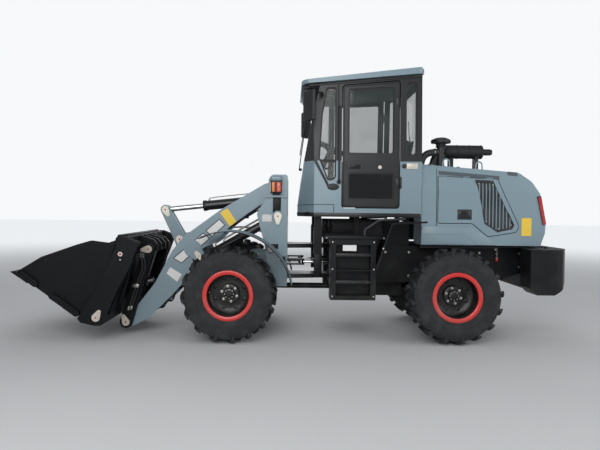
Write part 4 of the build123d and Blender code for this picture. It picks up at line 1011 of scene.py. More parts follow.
class LOADER_OT_cylinders(bpy.types.Operator):
    """Adds head rings, ports, steel lines and wiper seals to the cylinders"""

    bl_idname = "loader.cylinders"
    bl_label = "Cylinder fittings"

    # body, base as (x, z), rod's eye as (x, z), barrel's and rod's radius, head to eye, places along Y
    RAMS = (
        ("lift_barrels", (1977, 1395), (2860, 885), 50, 22, 141, (425, -425)),
        ("tilt_barrel", (1985, 1610), (3370, 1455), 60, 32, 466, (0,)),
        ("clam_barrels", (3905, 290), (3560, 900), 29, 14, 190, (946.5, -946.5)),
    )

    def execute(self, context):
        for body, base, eye, barrel_r, rod_r, short, lanes in self.RAMS:
            heads, ports, seals = Shape(), Shape(), Shape()
            k, bore = barrel_r / 1000, rod_r / 1000
            for y in lanes:
                start, end = drawn(y, base, eye)
                axis = (end - start).normalized()
                up = axis.cross(Vector((0, 1, 0)))
                up = up if up.z > 0 else -up
                head = end - axis * short / 1000
                heads.spun([(k * 0.98, -0.046), (k * 1.10, -0.044), (k * 1.12, -0.004), (k * 1.04, 0.004),
                            (bore + 0.001, 0.004), (bore + 0.001, -0.046)], head, axis, 36)
                wiper = [(bore, 0.003), (bore + 0.006, 0.003), (bore + 0.002, 0.009), (bore, 0.009)]
                seals.spun(wiper, head, axis, 24)
                near = start + axis * (0.118 + k) + up * k
                far = head - axis * 0.075 + up * k
                for spot in (near, far):
                    ports.rod(spot - up * 0.006, spot + up * 0.016, 0.011, steps=14, bevel=0.001)
                    ports.rod(spot + up * 0.014, spot + up * 0.026, 0.0095, steps=6)
                if body != "clam_barrels":
                    lift = up * 0.034
                    ports.tube([far + up * 0.022, far + lift - axis * 0.012,
                                near + lift + axis * 0.05, near + lift + axis * 0.03], 0.0062)
            heads.done(f"{body}_heads", body, "cylinder_black", "cylinder_paint")
            ports.done(f"{body}_ports", body, "zinc", "pin_steel")
            seals.done(f"{body}_seals", body, "seal_rubber", "dark_plastic")
        for side, sign in SIDES:
            start, head = at(700, sign * 250, 850), at(1438, sign * 250, 850)
            ring = Shape()
            ring.spun([(0.0315, -0.034), (0.036, -0.032), (0.036, 0), (0.017, 0.003), (0.017, -0.034)],
                      head, (1, 0, 0), 32)
            for port in (head - Vector((0.06, 0, 0)), start + Vector((0.10, 0, 0))):
                ring.rod(port + Vector((0, 0, 0.030)), port + Vector((0, 0, 0.046)), 0.010, steps=6)
            ring.done(f"steer_head_{side}", f"steer_barrel_{side}", "cylinder_black", "cylinder_paint")
        return {"FINISHED"}


# Pieces of the frames, steps and tanks


class LOADER_OT_front_frame(bpy.types.Operator):
    """Fits the front frame with brackets, bolts and welds, the pivot caps and the fender beads"""

    bl_idname = "loader.front_frame"
    bl_label = "Front frame fittings"

    def execute(self, context):
        welds = Shape()
        for y in (350, 500):
            for z in (700, 900, 1100, 1300, 1500, 1700):
                welds.rod(at(1889, y - 11, z - 80), at(1889, y - 11, z + 80), 0.004, steps=6)
        welds.mirrored().done("tower_welds", "front_frame", "body_paint", "grey_paint")
        bolts = Shape()
        for x, z in ((1950, 1450), (2015, 1450), (1950, 1600), (2015, 1600), (1983, 1478)):
            bolts.bolt(at(x, 500, z), (0, 1, 0), 0.009)
        for x in (1905, 1955):
            bolts.bolt(at(x, 585, 905), (0, 1, 0), 0.010)
        for x in (2380, 2440, 2560, 2620):
            for y in (270, 320):
                bolts.bolt(at(x, y, 778), (0, 0, 1), 0.015)
        bolts.mirrored().done("tower_bolts", "front_frame", "zinc", "pin_steel")
        for side, sign in SIDES:
            bracket = Shape()
            bracket.block(at(1943, sign * 500, 1436), at(2036, sign * 507, 1612), 0.002)
            bracket.block(at(1970, sign * 498, 1016), at(2098, sign * 512, 1072), 0.003)
            bracket.done(f"lamp_bracket_{side}", "front_frame", "frame_black", "black_paint")
        joint = Shape()
        for z in (670, 1035):
            for face in (1, -1):
                place = at(1250, 0, z + face * 75)
                cap = [(0.004, 0), (0.062, 0), (0.066, 0.004 * face), (0.066, 0.011 * face),
                       (0.060, 0.014 * face), (0.004, 0.014 * face)]
                joint.spun(cap, place, (0, 0, 1), 36)
                for i in range(6):
                    turn = tau * i / 6
                    spot = place + Vector((cos(turn) * 0.048, sin(turn) * 0.048, 0.013 * face))
                    joint.bolt(spot, (0, 0, face), 0.008)
        joint.done("pivot_caps", "rear_frame", "zinc", "pin_steel")
        beads = Shape()
        turns = [radians(64 + 106 * step / 8) for step in range(9)]
        arc = [(2500 + 703 * cos(turn), 530 + 703 * sin(turn)) for turn in turns]
        for _, sign in SIDES:
            for y in (593, 758, 923):
                beads.tube(drawn(sign * y, *arc), 0.006)
        beads.done("fender_beads", "front_frame", "body_paint", "grey_paint")
        return {"FINISHED"}


class LOADER_OT_steps(bpy.types.Operator):
    """Adds grip edges, treads, bolts, a filler cap and a sight glass to steps and tank"""

    bl_idname = "loader.steps"
    bl_label = "Steps and tank"

    def execute(self, context):
        teeth = Shape()
        for i in range(34):
            x = 775 + 20 * i
            for y in (856, 700, 560):
                teeth.rod(at(x, y, 1184), at(x, y, 1196), 0.0075, 0.004, 6)
        teeth.block(at(768, 857, 1150), at(1455, 863, 1187), 0.002)
        teeth.mirrored().done("platform_grip", "rear_frame", "frame_black", "black_paint")
        under = Shape()
        under.block(at(600, 318, 1150), at(1452, 326, 1362), 0.003)
        under.block(at(1440, 120, 1150), at(1452, 326, 1362), 0.003)
        for x in (700, 1380):
            under.rod(at(x, 352, 1215), at(x, 352, 1362), 0.028, 0.028, 20, 0.004)
            under.rod(at(x, 352, 1262), at(x, 352, 1300), 0.046, 0.046, 24, 0.006)
        under.block(at(1462, 532, 700), at(1556, 556, 975), 0.006)
        under.mirrored().done("cab_mounts", "rear_frame", "frame_black", "black_paint")
        treads = Shape()
        for z in (659, 960):
            for i in range(16):
                x = 950 + 25 * i
                for y in (838, 805):
                    treads.rod(at(x, y, z + 27), at(x, y, z + 38), 0.0065, 0.0035, 6)
            treads.block(at(937, 836, z + 2), at(1330, 842, z + 33), 0.002)
        treads.block(at(960, 700, 1086), at(1310, 708, 1020), 0.002)
        treads.done("step_treads", "rear_frame", "worn_black", "black_paint")
        bolts = Shape()
        for _, sign in SIDES:
            for x in (905, 1362):
                for z in (520, 820, 1120):
                    bolts.bolt(at(x, sign * 850, z), (0, sign, 0), 0.009)
            for x in (800, 1430):
                bolts.bolt(at(x, sign * 863, 1166), (0, sign, 0), 0.007)
        bolts.done("step_bolts", "rear_frame", "zinc", "pin_steel")
        cap = Shape()
        cap.rod(at(1130, -760, 1186), at(1130, -760, 1204), 0.062, steps=28, bevel=0.003)
        cap.rod(at(1130, -760, 1204), at(1130, -760, 1240), 0.052, 0.048, 28, 0.006)
        for i in range(12):
            across, along = cos(tau * i / 12), sin(tau * i / 12)
            foot = at(1130 + 50 * across, -760 + 50 * along, 1205)
            cap.rod(foot, at(1130 + 47 * across, -760 + 47 * along, 1236), 0.004, steps=6)
        cap.done("filler_cap", "rear_frame", "moulded_black", "dark_plastic")
        gauge = Shape()
        gauge.block(at(1000, -852, 840), at(1026, -862, 1060), 0.004)
        gauge.done("sight_glass", "rear_frame", "white_lens", "lamp_plastic")
        seam = Shape()
        for z in (836, 1064):
            seam.bolt(at(1013, -851, z), (0, -1, 0), 0.011)
        for ends in pairs(drawn(-851, (920, 500), (1350, 500), (1350, 1120), (920, 1120))):
            seam.rod(*ends, 0.005, steps=8)
        seam.rod(at(1100, -700, 479), at(1100, -700, 466), 0.020, steps=6)
        seam.done("tank_fittings", "rear_frame", "frame_black", "black_paint")
        feet = Shape()
        collar = [(0.013, 0), (0.030, 0), (0.030, 0.006), (0.016, 0.010), (0.013, 0.010)]
        for _, sign in SIDES:
            feet.spun(collar, at(1010, sign * 830, 1186), (0, 0, 1), 20)
        feet.done("rail_feet", "rear_frame", "frame_black", "black_paint")
        return {"FINISHED"}


class LOADER_OT_rear(bpy.types.Operator):
    """Fits the counterweight and the rear frame: lid seam, tow pin, bolts and fender trim"""

    bl_idname = "loader.rear"
    bl_label = "Rear fittings"

    def execute(self, context):
        seams = Shape()
        for y in (-430, 430):
            seams.block(at(-1160, y - 3, 1056), at(-985, y + 3, 1063), 0.001, 1)
        for _, sign in SIDES:
            seams.block(at(-1130, sign * 868, 1020), at(-870, sign * 883, 1030), 0.002)
            for x in (-860, -1120):
                seams.bolt(at(x, sign * 560, 1058), (0, 0, 1), 0.022)
        seams.done("weight_trim", "rear_frame", "frame_black", "black_paint")
        pin = Shape()
        pin.rod(at(-1257, 0, 735), at(-1257, 0, 1066), 0.0185, steps=20, bevel=0.002)
        collar = [(0.004, 0), (0.034, 0), (0.036, 0.004), (0.036, 0.012), (0.020, 0.016), (0.004, 0.016)]
        pin.spun(collar, at(-1257, 0, 1058), (0, 0, 1), 28)
        handle = ((-42, 1072), (-46, 1130), (0, 1150), (46, 1130), (42, 1072))
        pin.tube([at(-1257, y, z) for y, z in handle], 0.006)
        pin.done("tow_pin", "rear_frame", "zinc", "pin_steel")
        pull, knob = Shape(), Shape()
        chain_link = [(0.0085, -0.0026), (0.0137, -0.0026), (0.0137, 0.0026), (0.0085, 0.0026)]
        for _, sign in SIDES:
            y = sign * 372
            pull.block(at(-640, sign * 350, 1010), at(-600, sign * 362, 1050), 0.003)
            for i in range(4):
                axis = (0, 1, 0) if i % 2 else (1, 0, 0)
                pull.spun(chain_link, at(-622, y, 1000 - 26 * i), axis, 16)
            knob.ball(at(-622, y, 900), 0.018, (1, 1, 1.25), 18)
            pull.rod(at(-622, y, 918), at(-622, y, 934), 0.006, steps=10)
        pull.done("stop_pull", "rear_frame", "zinc", "pin_steel")
        knob.done("stop_knob", "rear_frame", "warning_red", "lamp_plastic")
        bolts = Shape()
        for _, sign in SIDES:
            for x, z in (
                (-420, 700), (420, 700), (-420, 980), (420, 980),
                (-900, 980), (-900, 820), (700, 980), (900, 700),
            ):
                bolts.bolt(at(x, sign * 350, z), (0, sign, 0), 0.014)
            bolts.bolt(at(820, sign * 961, 1060), (0, sign, 0), 0.010)
        bolts.done("frame_bolts", "rear_frame", "zinc", "pin_steel")
        deck = Shape()
        for _, sign in SIDES:
            deck.block(at(-560, sign * 350, 1046), at(335, sign * 556, 1060), 0.003)
            deck.bars(drawn(sign * 955, (345, 1352), (724, 1334), (893, 838)), 0.008)
        deck.done("fender_edges", "rear_frame", "frame_black", "black_paint")
        pipes = Shape()
        for y in (300, -300):
            for z in (930, 1010):
                pipes.rod(at(-700, y, z), at(430, y, z), 0.012, steps=10)
        pipes.done("frame_pipes", "rear_frame", "pipe_black", "cylinder_paint")
        return {"FINISHED"}


# Pieces of the rear body


class LOADER_OT_hood(bpy.types.Operator):
    """Fits the hood with lifting rings, skirts, latches, vents, seams and hinges"""

    bl_idname = "loader.hood"
    bl_label = "Hood fittings"

    def execute(self, context):
        rings = Shape()
        bow = ((-38, -8), (-40, 40), (-30, 88), (0, 100), (30, 88), (40, 40), (38, -8))
        for x, top in ((16, 1988), (-370, 1958)):
            for y in (-430, 430):
                rings.tube([at(x + along, y, top + up) for along, up in bow], 0.0085)
                rings.block(at(x - 55, y - 18, top - 8), at(x + 55, y + 18, top + 6), 0.003)
        rings.done("lifting_rings", "rear_frame", "body_paint", "grey_paint")
        seam = Shape()
        for _, sign in SIDES:
            waist = at(161, sign * 604.5, 1700)
            seam.bars([at(161, sign * 604.5, 1090), waist, at(161, sign * 567, 1960)], 0.0045)
        seam.done("hood_seams", "rear_frame", "seal_rubber", "dark_plastic")
        skirt = Shape()
        for _, sign in SIDES:
            panel = ((335, 1300), (-215, 1300), (-390, 1205), (-520, 1090), (335, 1090))
            skirt.plate(drawn(sign * 600, *panel), (0, sign * 0.020, 0), 0.006)
            skirt.bars(drawn(sign * 618, (335, 1212), (-150, 1212), (-340, 1090)), 0.005)
        skirt.done("hood_skirts", "rear_frame", "body_paint", "grey_paint")
        vents = Shape()
        slope = Matrix.Rotation(radians(-12), 4, "Y")
        for i in range(9):
            x = -420 + 60 * i
            low, high = at(x - 18, -120, hood_top(x) - 3), at(x + 18, 120, hood_top(x) + 5)
            vents.block(low, high, 0.004, 2, slope)
        vents.done("hood_louvres", "rear_frame", "moulded_black", "dark_plastic")
        for side, sign in SIDES:
            self.engine_cover(side, sign)
        back = Shape()
        back.block(at(-1062, -402, 1244), at(-1058, 402, 1636))
        back.done("rear_mesh", "rear_frame", "grille_mesh", "dark_plastic")
        return {"FINISHED"}

    def engine_cover(self, side, sign):
        """Latch, grille surround, mesh, screws and hinges of one engine cover."""
        body = f"engine_cover_{side}"
        latch = Shape()
        latch.block(at(-78, sign * 600, 1378), at(-244, sign * 608, 1496), 0.004)
        latch.done(f"latch_frame_{side}", body, "moulded_black", "dark_plastic")
        grip = Shape()
        grip.block(at(-100, sign * 606, 1400), at(-222, sign * 612, 1474), 0.004)
        grip.rod(at(-118, sign * 611, 1437), at(-118, sign * 615, 1437), 0.010, steps=14)
        grip.done(f"latch_grip_{side}", body, "gloss_black", "dark_plastic")
        outline = ((-290, 1820), (-490, 1810), (-725, 1330), (-700, 1285), (-540, 1250), (-400, 1340))
        surround = Shape()
        for corners in surround_strips(outline, (-524, 1472), 1.055, 0.96):
            strip = [at(p.x, sign * (hood_side(p.y) - 2), p.y) for p in corners]
            surround.plate(strip, (0, sign * 0.007, 0), 0.002)
        surround.done(f"grille_frame_{side}", body, "moulded_black", "dark_plastic")
        mesh = Shape()
        mesh.plate([at(x, sign * (hood_side(z) - 19), z) for x, z in outline], (0, sign * 0.0015, 0))
        mesh.done(f"grille_mesh_{side}", body, "grille_mesh", "dark_plastic")
        screws = Shape()
        for x, z in ((-318, 1790), (-482, 1782), (-694, 1322), (-548, 1278), (-410, 1360)):
            screws.bolt(at(x, sign * (hood_side(z) + 4), z), (0, sign, 0), 0.008)
        screws.done(f"grille_screws_{side}", body, "zinc", "pin_steel")
        hinge = Shape()
        for x in (60, -180, -440):
            z = 1882 - (150 - x) * 30 / 695
            y = sign * (hood_side(z) + 2)
            hinge.rod(at(x - 40, y, z), at(x + 40, y, z - 3.4), 0.007, steps=10)
        hinge.done(f"cover_hinges_{side}", "rear_frame", "body_paint", "grey_paint")


def surround_strips(outline, middle_spot, outer, inner):
    """Corners of the strips round an outline, between two sizes of it about its middle."""
    centre = Vector(middle_spot)
    for a, b in pairs(outline):
        corners = ((a, outer), (b, outer), (b, inner), (a, inner))
        yield [centre + (Vector(p) - centre) * grow for p, grow in corners]


def hood_top(x):
    """Height of the hood's top at a place along it, in millimetres."""
    return 2010 - (335 - x) * 85 / 1120


# Sections as (radius, distance along)
MUFFLER = [
    (0.079, 0), (0.0835, 0.002), (0.0835, 0.010), (0.0865, 0.012), (0.0865, 0.020), (0.0835, 0.022),
    (0.0835, 0.150), (0.0865, 0.153), (0.0865, 0.163), (0.0835, 0.166),
    (0.0835, 0.300), (0.0865, 0.303), (0.0865, 0.311), (0.0835, 0.314),
    (0.0835, 0.444), (0.0865, 0.446), (0.0865, 0.456), (0.0835, 0.458),
    (0.0835, 0.466), (0.076, 0.472), (0.040, 0.480), (0.038, 0.480), (0.038, 0.470), (0.079, 0.460),
]
INTAKE_CAP = [
    (0.003, 0.0), (0.060, 0.0005), (0.100, -0.016), (0.117, -0.034), (0.118, -0.050), (0.112, -0.063),
    (0.100, -0.064), (0.100, -0.058), (0.109, -0.050), (0.105, -0.036), (0.05, -0.004), (0.003, -0.004),
]


class LOADER_OT_engine_pipes(bpy.types.Operator):
    """Fits the muffler's bands and flanges, the tail pipe, the air intake and its elbows"""

    bl_idname = "loader.engine_pipes"
    bl_label = "Muffler and intake"

    def execute(self, context):
        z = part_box("exhaust")[1].z * 1000 - 82
        muffler = Shape()
        muffler.spun(MUFFLER, at(-68, 0, z), (-1, 0, 0), 48)
        tail = [(0.031, -0.02), (0.0395, -0.02), (0.0395, 0.105), (0.031, 0.128)]
        muffler.spun(tail, at(-534, 0, z), (-1, 0, 0), 32)
        flange = [(0.036, 0), (0.052, 0), (0.052, 0.009), (0.036, 0.009)]
        muffler.spun(flange, at(-150, 0, 1994), (0, 0, 1), 28)
        muffler.block(at(-492, -75, 1966), at(-428, 75, 1976), 0.003)
        for y in (-62, 62):
            muffler.bolt(at(-460, y, 1976), (0, 0, 1), 0.010)
        bend = drawn(0, (-68, z), (-20, z), (20, z - 8), (48, z - 60), (52, 2050), (52, 1985))
        muffler.tube(bend, 0.034, 16)
        muffler.done("muffler_bands", "rear_frame", "muffler_black", "black_paint")
        soot = Shape()
        soot.spun([(0.003, 0), (0.0305, 0), (0.0305, 0.004), (0.003, 0.004)], at(-600, 0, z), (-1, 0, 0), 28)
        soot.done("tail_pipe_dark", "rear_frame", "seal_rubber", "black_paint")
        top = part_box("air_intake")[1].z * 1000
        cap = Shape()
        cap.spun(INTAKE_CAP, at(40, 260, top), (0, 0, 1), 40)
        for i in range(24):
            out = Vector((cos(tau * i / 24), sin(tau * i / 24), 0))
            cap.rod(at(40, 260, top - 60) + out * 0.060, at(40, 260, top - 96) + out * 0.050, 0.003, steps=6)
        collar = [(0.044, 0), (0.062, 0), (0.064, 0.008), (0.050, 0.014), (0.044, 0.014)]
        cap.spun(collar, at(40, 260, top - 112), (0, 0, 1), 32)
        band = [(0.044, 0), (0.050, 0.002), (0.050, 0.012), (0.044, 0.014)]
        for lift in (2012, 2180):
            cap.spun(band, at(40, 260, lift), (0, 0, 1), 32)
        cap.done("intake_cap", "rear_frame", "moulded_black", "dark_plastic")
        elbows = Shape()
        for radius, run in (
            (0.041, ((276, 245, 1990), (270, 248, 2070), (225, 252, 2150),
                     (150, 256, 2178), (60, 260, 2180))),
            (0.036, ((110, 120, 1990), (108, 120, 2060), (70, 110, 2150), (10, 80, 2200), (-60, 40, z))),
        ):
            elbows.tube([at(*spot) for spot in run], radius, 16)
        elbows.done("intake_elbows", "rear_frame", "hose_rubber", "dark_plastic")
        clips = Shape()
        clip = [(0.037, -0.007), (0.0445, -0.006), (0.0445, 0.006), (0.037, 0.007)]
        for spot, axis in (
            ((276, 245, 2030), (0, 0, 1)), ((112, 257, 2180), (1, 0, 0)), ((110, 120, 2030), (0, 0, 1))
        ):
            clips.spun(clip, at(*spot), axis, 32)
        clips.done("intake_clips", "rear_frame", "zinc", "pin_steel")
        return {"FINISHED"}


# Pieces of the cab


CAB_FLOOR = 1440
SEAT_LEAN = -0.20
SWELL_LIMIT = 0.016


def cab_side(z):
    """Distance of the cab's side from the middle at a height, in millimetres."""
    return 640 if z < 2030 else 640 - (z - 2030) * 55 / 1060


class LOADER_OT_glazing(bpy.types.Operator):
    """Frames every pane of the cab and the doors with a rubber seal"""

    bl_idname = "loader.glazing"
    bl_label = "Window seals"

    def execute(self, context):
        for node, body in (
            ("cab_glass", "rear_frame"), ("door_glass_left", "door_left"), ("door_glass_right", "door_right")
        ):
            seals = Shape()
            bm = seals.bm
            bm.from_mesh(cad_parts[node].data)
            bmesh.ops.remove_doubles(bm, verts=bm.verts, dist=1e-5)
            bmesh.ops.dissolve_limit(bm, angle_limit=radians(1), verts=bm.verts, edges=bm.edges)
            others = [face for face in bm.faces if not self.is_pane(face)]
            bmesh.ops.delete(bm, geom=others, context="FACES")
            panes = bm.faces[:]
            bmesh.ops.inset_individual(bm, faces=panes, thickness=look().seal_width, use_even_offset=True)
            bmesh.ops.delete(bm, geom=panes, context="FACES_ONLY")
            bm.normal_update()
            for vert in bm.verts:
                vert.co += vert.normal * 0.003
            bmesh.ops.solidify(bm, geom=bm.faces[:], thickness=0.020)
            seals.done(f"{node}_seals", body, "seal_rubber", "dark_plastic")
        return {"FINISHED"}

    def is_pane(self, face):
        """Whether a face of the glass is large and looks away from the cab's middle."""
        away = face.calc_center_median() - at(1000, 0, 2200)
        return face.calc_area() >= 0.03 and face.normal.dot(away) >= 0


class LOADER_OT_cab(bpy.types.Operator):
    """Fits the cab outside: sill strips, pillar trim, grab bars, gutter, wipers and roof lamps"""

    bl_idname = "loader.cab"
    bl_label = "Cab outside"

    def execute(self, context):
        sill = Shape()
        for _, sign in SIDES:
            sill.block(at(350, sign * 636, 1396), at(1566, sign * 645, 1442), 0.002)
            start, end = at(1567, sign * 642, 1419), at(1747, sign * 338, 1419)
            along = end - start
            turn = Matrix.Rotation(atan2(along.y, along.x), 4, "Z")
            middle_spot, reach = (start + end) / 2, Vector((along.length / 2, 0.004, 0.023))
            sill.block(middle_spot - reach, middle_spot + reach, 0.002, 2, turn)
        sill.block(at(1742, -338, 1396), at(1749, 338, 1442), 0.002)
        sill.done("sill_strips", "rear_frame", "cab_black", "black_paint")
        seam = Shape()
        for _, sign in SIDES:
            seam.bars(drawn(sign * 640.5, (1564, 1532), (1341, 1536), (1341, 1444)), 0.003)
            seam.rod(at(1567, sign * 640.5, 1532), at(1746, sign * 337.5, 1526), 0.003, steps=8)
        seam.rod(at(1746, -337, 1526), at(1746, 337, 1526), 0.003, steps=8)
        seam.done("cab_seams", "rear_frame", "seal_rubber", "dark_plastic")
        trim = Shape()
        for _, sign in SIDES:
            strip = drawn(sign * 637, (1578, 2034), (1548, 2046), (1404, 1772), (1416, 1738))
            trim.plate(strip, (0, sign * 0.009, 0), 0.003)
            dish = at(1352, sign * 640, 1735)
            trim.ball(dish, 0.062, (1.1, 0.16, 0.62), 20)
            trim.rod(dish, dish + Vector((0, sign * 0.014, 0)), 0.010, steps=14)
        trim.done("corner_trim", "rear_frame", "moulded_black", "dark_plastic")
        self.grab_bars()
        gutter = Shape()
        for _, sign in SIDES:
            gutter.tube(drawn(sign * 592, (365, 3012), (900, 2972), (1470, 2916)), 0.012)
            down = ((616, 2900), (627, 2500), (641, 2040))
            gutter.tube([at(1300, sign * y, z) for y, z in down], 0.007)
        gutter.done("gutters", "rear_frame", "cab_black", "black_paint")
        self.wipers()
        self.roof()
        self.corner_behind_doors()
        return {"FINISHED"}

    def grab_bars(self):
        """Upright bar beside each door, standing off the pillar on two round feet."""
        bars = Shape()
        foot_z, head_z = 1790, 2640
        for _, sign in SIDES:
            low, high = cab_side(foot_z), cab_side(head_z)
            run = ((low - 4, foot_z), (low + 42, 1792), (low + 42, 1830),
                   (high + 42, 2600), (high + 42, 2638), (high - 4, head_z))
            bars.tube([at(1287, sign * y, z) for y, z in run], 0.0125)
            for z, y in ((foot_z, low), (head_z, high)):
                start, end = at(1287, sign * (y - 3), z), at(1287, sign * (y + 6), z)
                bars.rod(start, end, 0.026, steps=20, bevel=0.002)
        bars.done("grab_bars", "rear_frame", "moulded_black", "dark_plastic")

    def wipers(self):
        """Parked wiper of the windscreen and of the rear window, each with its motor cap."""
        arms = Shape()
        foot = at(1700, 60, 1962)
        arms.rod(foot, foot + Vector((0.035, 0, 0.006)), 0.017, steps=16, bevel=0.002)
        arm = [at(1716, 70, 2080), at(1690, 160, 2300), at(1668, 240, 2420)]
        arms.tube([foot + Vector((0.032, 0, 0)), *arm], 0.006)
        blade = [at(1727, 250, 2120), at(1706, 246, 2280), at(1661, 238, 2560), at(1632, 230, 2700)]
        arms.tube(blade, 0.0055)
        arms.rod(at(338, 0, 2065), at(322, 0, 2065), 0.020, steps=16, bevel=0.002)
        arms.tube([at(326, 0, 2065), at(322, -60, 2200), at(328, -180, 2420)], 0.006)
        arms.tube([at(330, -140, 2240), at(331, -200, 2460), at(332, -250, 2620)], 0.0055)
        arms.done("wipers", "rear_frame", "moulded_black", "dark_plastic")

    def roof(self):
        """Black trim under the roof and the work lamps at both of its ends."""
        trim = Shape()
        for _, sign in SIDES:
            side = drawn(sign * 560, (352, 3030), (1640, 2892), (1640, 2872), (352, 3000))
            trim.plate(side, (0, sign * 0.045, 0), 0.004)
        front = drawn(-545, (1505, 2908), (1690, 2888), (1690, 2862), (1520, 2872))
        trim.plate(front, (0, 1.09, 0), 0.004)
        trim.done("roof_underside", "rear_frame", "moulded_black", "dark_plastic")
        lamps, lenses = Shape(), Shape()
        for y in (-380, 380):
            for x, out, z in ((1640, 1, 2838), (356, -1, 2962)):
                low, high = at(x - 38 * out, y - 75, z - 44), at(x + 20 * out, y + 75, z + 40)
                lamps.block(low, high, 0.010, 3)
                lamps.rod(at(x - 10 * out, y, z + 30), at(x - 10 * out, y, z + 62), 0.010, steps=12)
                low, high = at(x + 18 * out, y - 66, z - 34), at(x + 25 * out, y + 66, z + 31)
                lenses.block(low, high, 0.004)
        lamps.done("roof_lamps", "rear_frame", "moulded_black", "dark_plastic")
        lenses.done("roof_lenses", "rear_frame", "white_lens", "lamp_plastic")

    def corner_behind_doors(self):
        """Round lock and bright catch plate on the corner behind the doors."""
        lock, plate = Shape(), Shape()
        rose = [(0.003, 0), (0.026, 0), (0.026, 0.008), (0.018, 0.012), (0.003, 0.013)]
        for _, sign in SIDES:
            lock.spun(rose, at(548, sign * 640, 1978), (0, sign, 0), 28)
            plate.block(at(518, sign * 638, 1946), at(392, sign * 646, 2012), 0.007, 3)
            plate.block(at(490, sign * 645, 1966), at(420, sign * 650, 1992), 0.004, 2)
            for x in (505, 405):
                plate.bolt(at(x, sign * 646, 1979), (0, sign, 0), 0.006, False)
        lock.done("corner_locks", "rear_frame", "moulded_black", "dark_plastic")
        plate.done("catch_plates", "rear_frame", "plate_zinc", "pin_steel")


class LOADER_OT_doors(bpy.types.Operator):
    """Fits both doors with handles, a blank boss, hinges, edge rubber and an inner pull"""

    bl_idname = "loader.doors"
    bl_label = "Door fittings"

    def execute(self, context):
        for side, sign in SIDES:
            body = f"door_{side}"
            handle = Shape()
            handle.block(at(1188, sign * 638, 1940), at(1040, sign * 645, 1988), 0.010, 3)
            handle.block(at(1180, sign * 645, 1954), at(1060, sign * 662, 1974), 0.008, 3)
            handle.rod(at(1168, sign * 640, 1964), at(1168, sign * 665, 1964), 0.013, steps=20, bevel=0.002)
            handle.done(f"door_handle_{side}", body, "gloss_black", "dark_plastic")
            badge = Shape()
            rose = [(0.003, 0), (0.020, 0), (0.020, 0.004), (0.003, 0.005)]
            badge.spun(rose, at(822, sign * 640, 1962), (0, sign, 0), 28)
            badge.done(f"door_badge_{side}", body, "plate_zinc", "lamp_plastic")
            hinge = Shape()
            for z in (1790, 2710):
                y = cab_side(z)
                low, high = at(586, sign * (y + 10), z - 65), at(586, sign * (y + 7), z + 65)
                hinge.rod(low, high, 0.011, steps=16, bevel=0.002)
                hinge.block(at(592, sign * (y - 2), z - 42), at(640, sign * (y + 7), z + 42), 0.003)
            hinge.done(f"door_hinges_{side}", body, "cab_black", "black_paint")
            edge = Shape()
            rim = ((616, 2028), (616, 1518), (1233, 1518), (1233, 2028), (1233, 2872), (616, 2930))
            for ends in pairs([at(x, sign * cab_side(z), z) for x, z in rim]):
                edge.rod(*ends, 0.005, steps=8)
            edge.done(f"door_edge_{side}", body, "seal_rubber", "dark_plastic")
            pull = Shape()
            run = ((1150, 598, 2010), (1150, 560, 2012), (1110, 556, 2014),
                   (900, 556, 2014), (862, 560, 2012), (862, 598, 2010))
            pull.tube([at(x, sign * y, z) for x, y, z in run], 0.011)
            pull.done(f"door_pull_{side}", body, "moulded_black", "dark_plastic")
        return {"FINISHED"}


class LOADER_OT_mirrors(bpy.types.Operator):
    """Makes the mirrors: bent tube arms, rounded shells and glass turned to the operator"""

    bl_idname = "loader.mirrors"
    bl_label = "Mirrors"

    def execute(self, context):
        arms, shells, glass = Shape(), Shape(), Shape()
        for _, sign in SIDES:
            run = ((1492, 600, 2774), (1492, 690, 2774), (1492, 748, 2774), (1530, 752, 2774),
                   (1620, 752, 2774), (1632, 760, 2740), (1632, 775, 2640))
            arms.tube([at(x, sign * y, z) for x, y, z in run], 0.0115)
            arms.rod(at(1492, sign * 598, 2774), at(1492, sign * 612, 2774), 0.030, steps=20, bevel=0.002)
            turn = Matrix.Rotation(sign * radians(38), 4, "Z")
            centre = at(1628, sign * 785, 2622)
            low, high = Vector((-0.018, -0.094, -0.172)), Vector((0.030, 0.094, 0.172))
            shells.block(centre + low, centre + high, 0.022, 4, turn)
            face = centre + turn @ Vector((-0.0105, 0, 0))
            half = Vector((0.0035, 0.082, 0.160))
            glass.block(face - half, face + half, 0.0025, 2, turn)
        arms.done("mirror_arms", "rear_frame", "frame_black", "black_paint")
        shell = shells.done("mirror_shells", "rear_frame", "moulded_black", "dark_plastic")
        glass.done("mirror_panes", "rear_frame", "mirror_glass", "glass")
        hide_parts("mirrors")
        return {"FINISHED"}


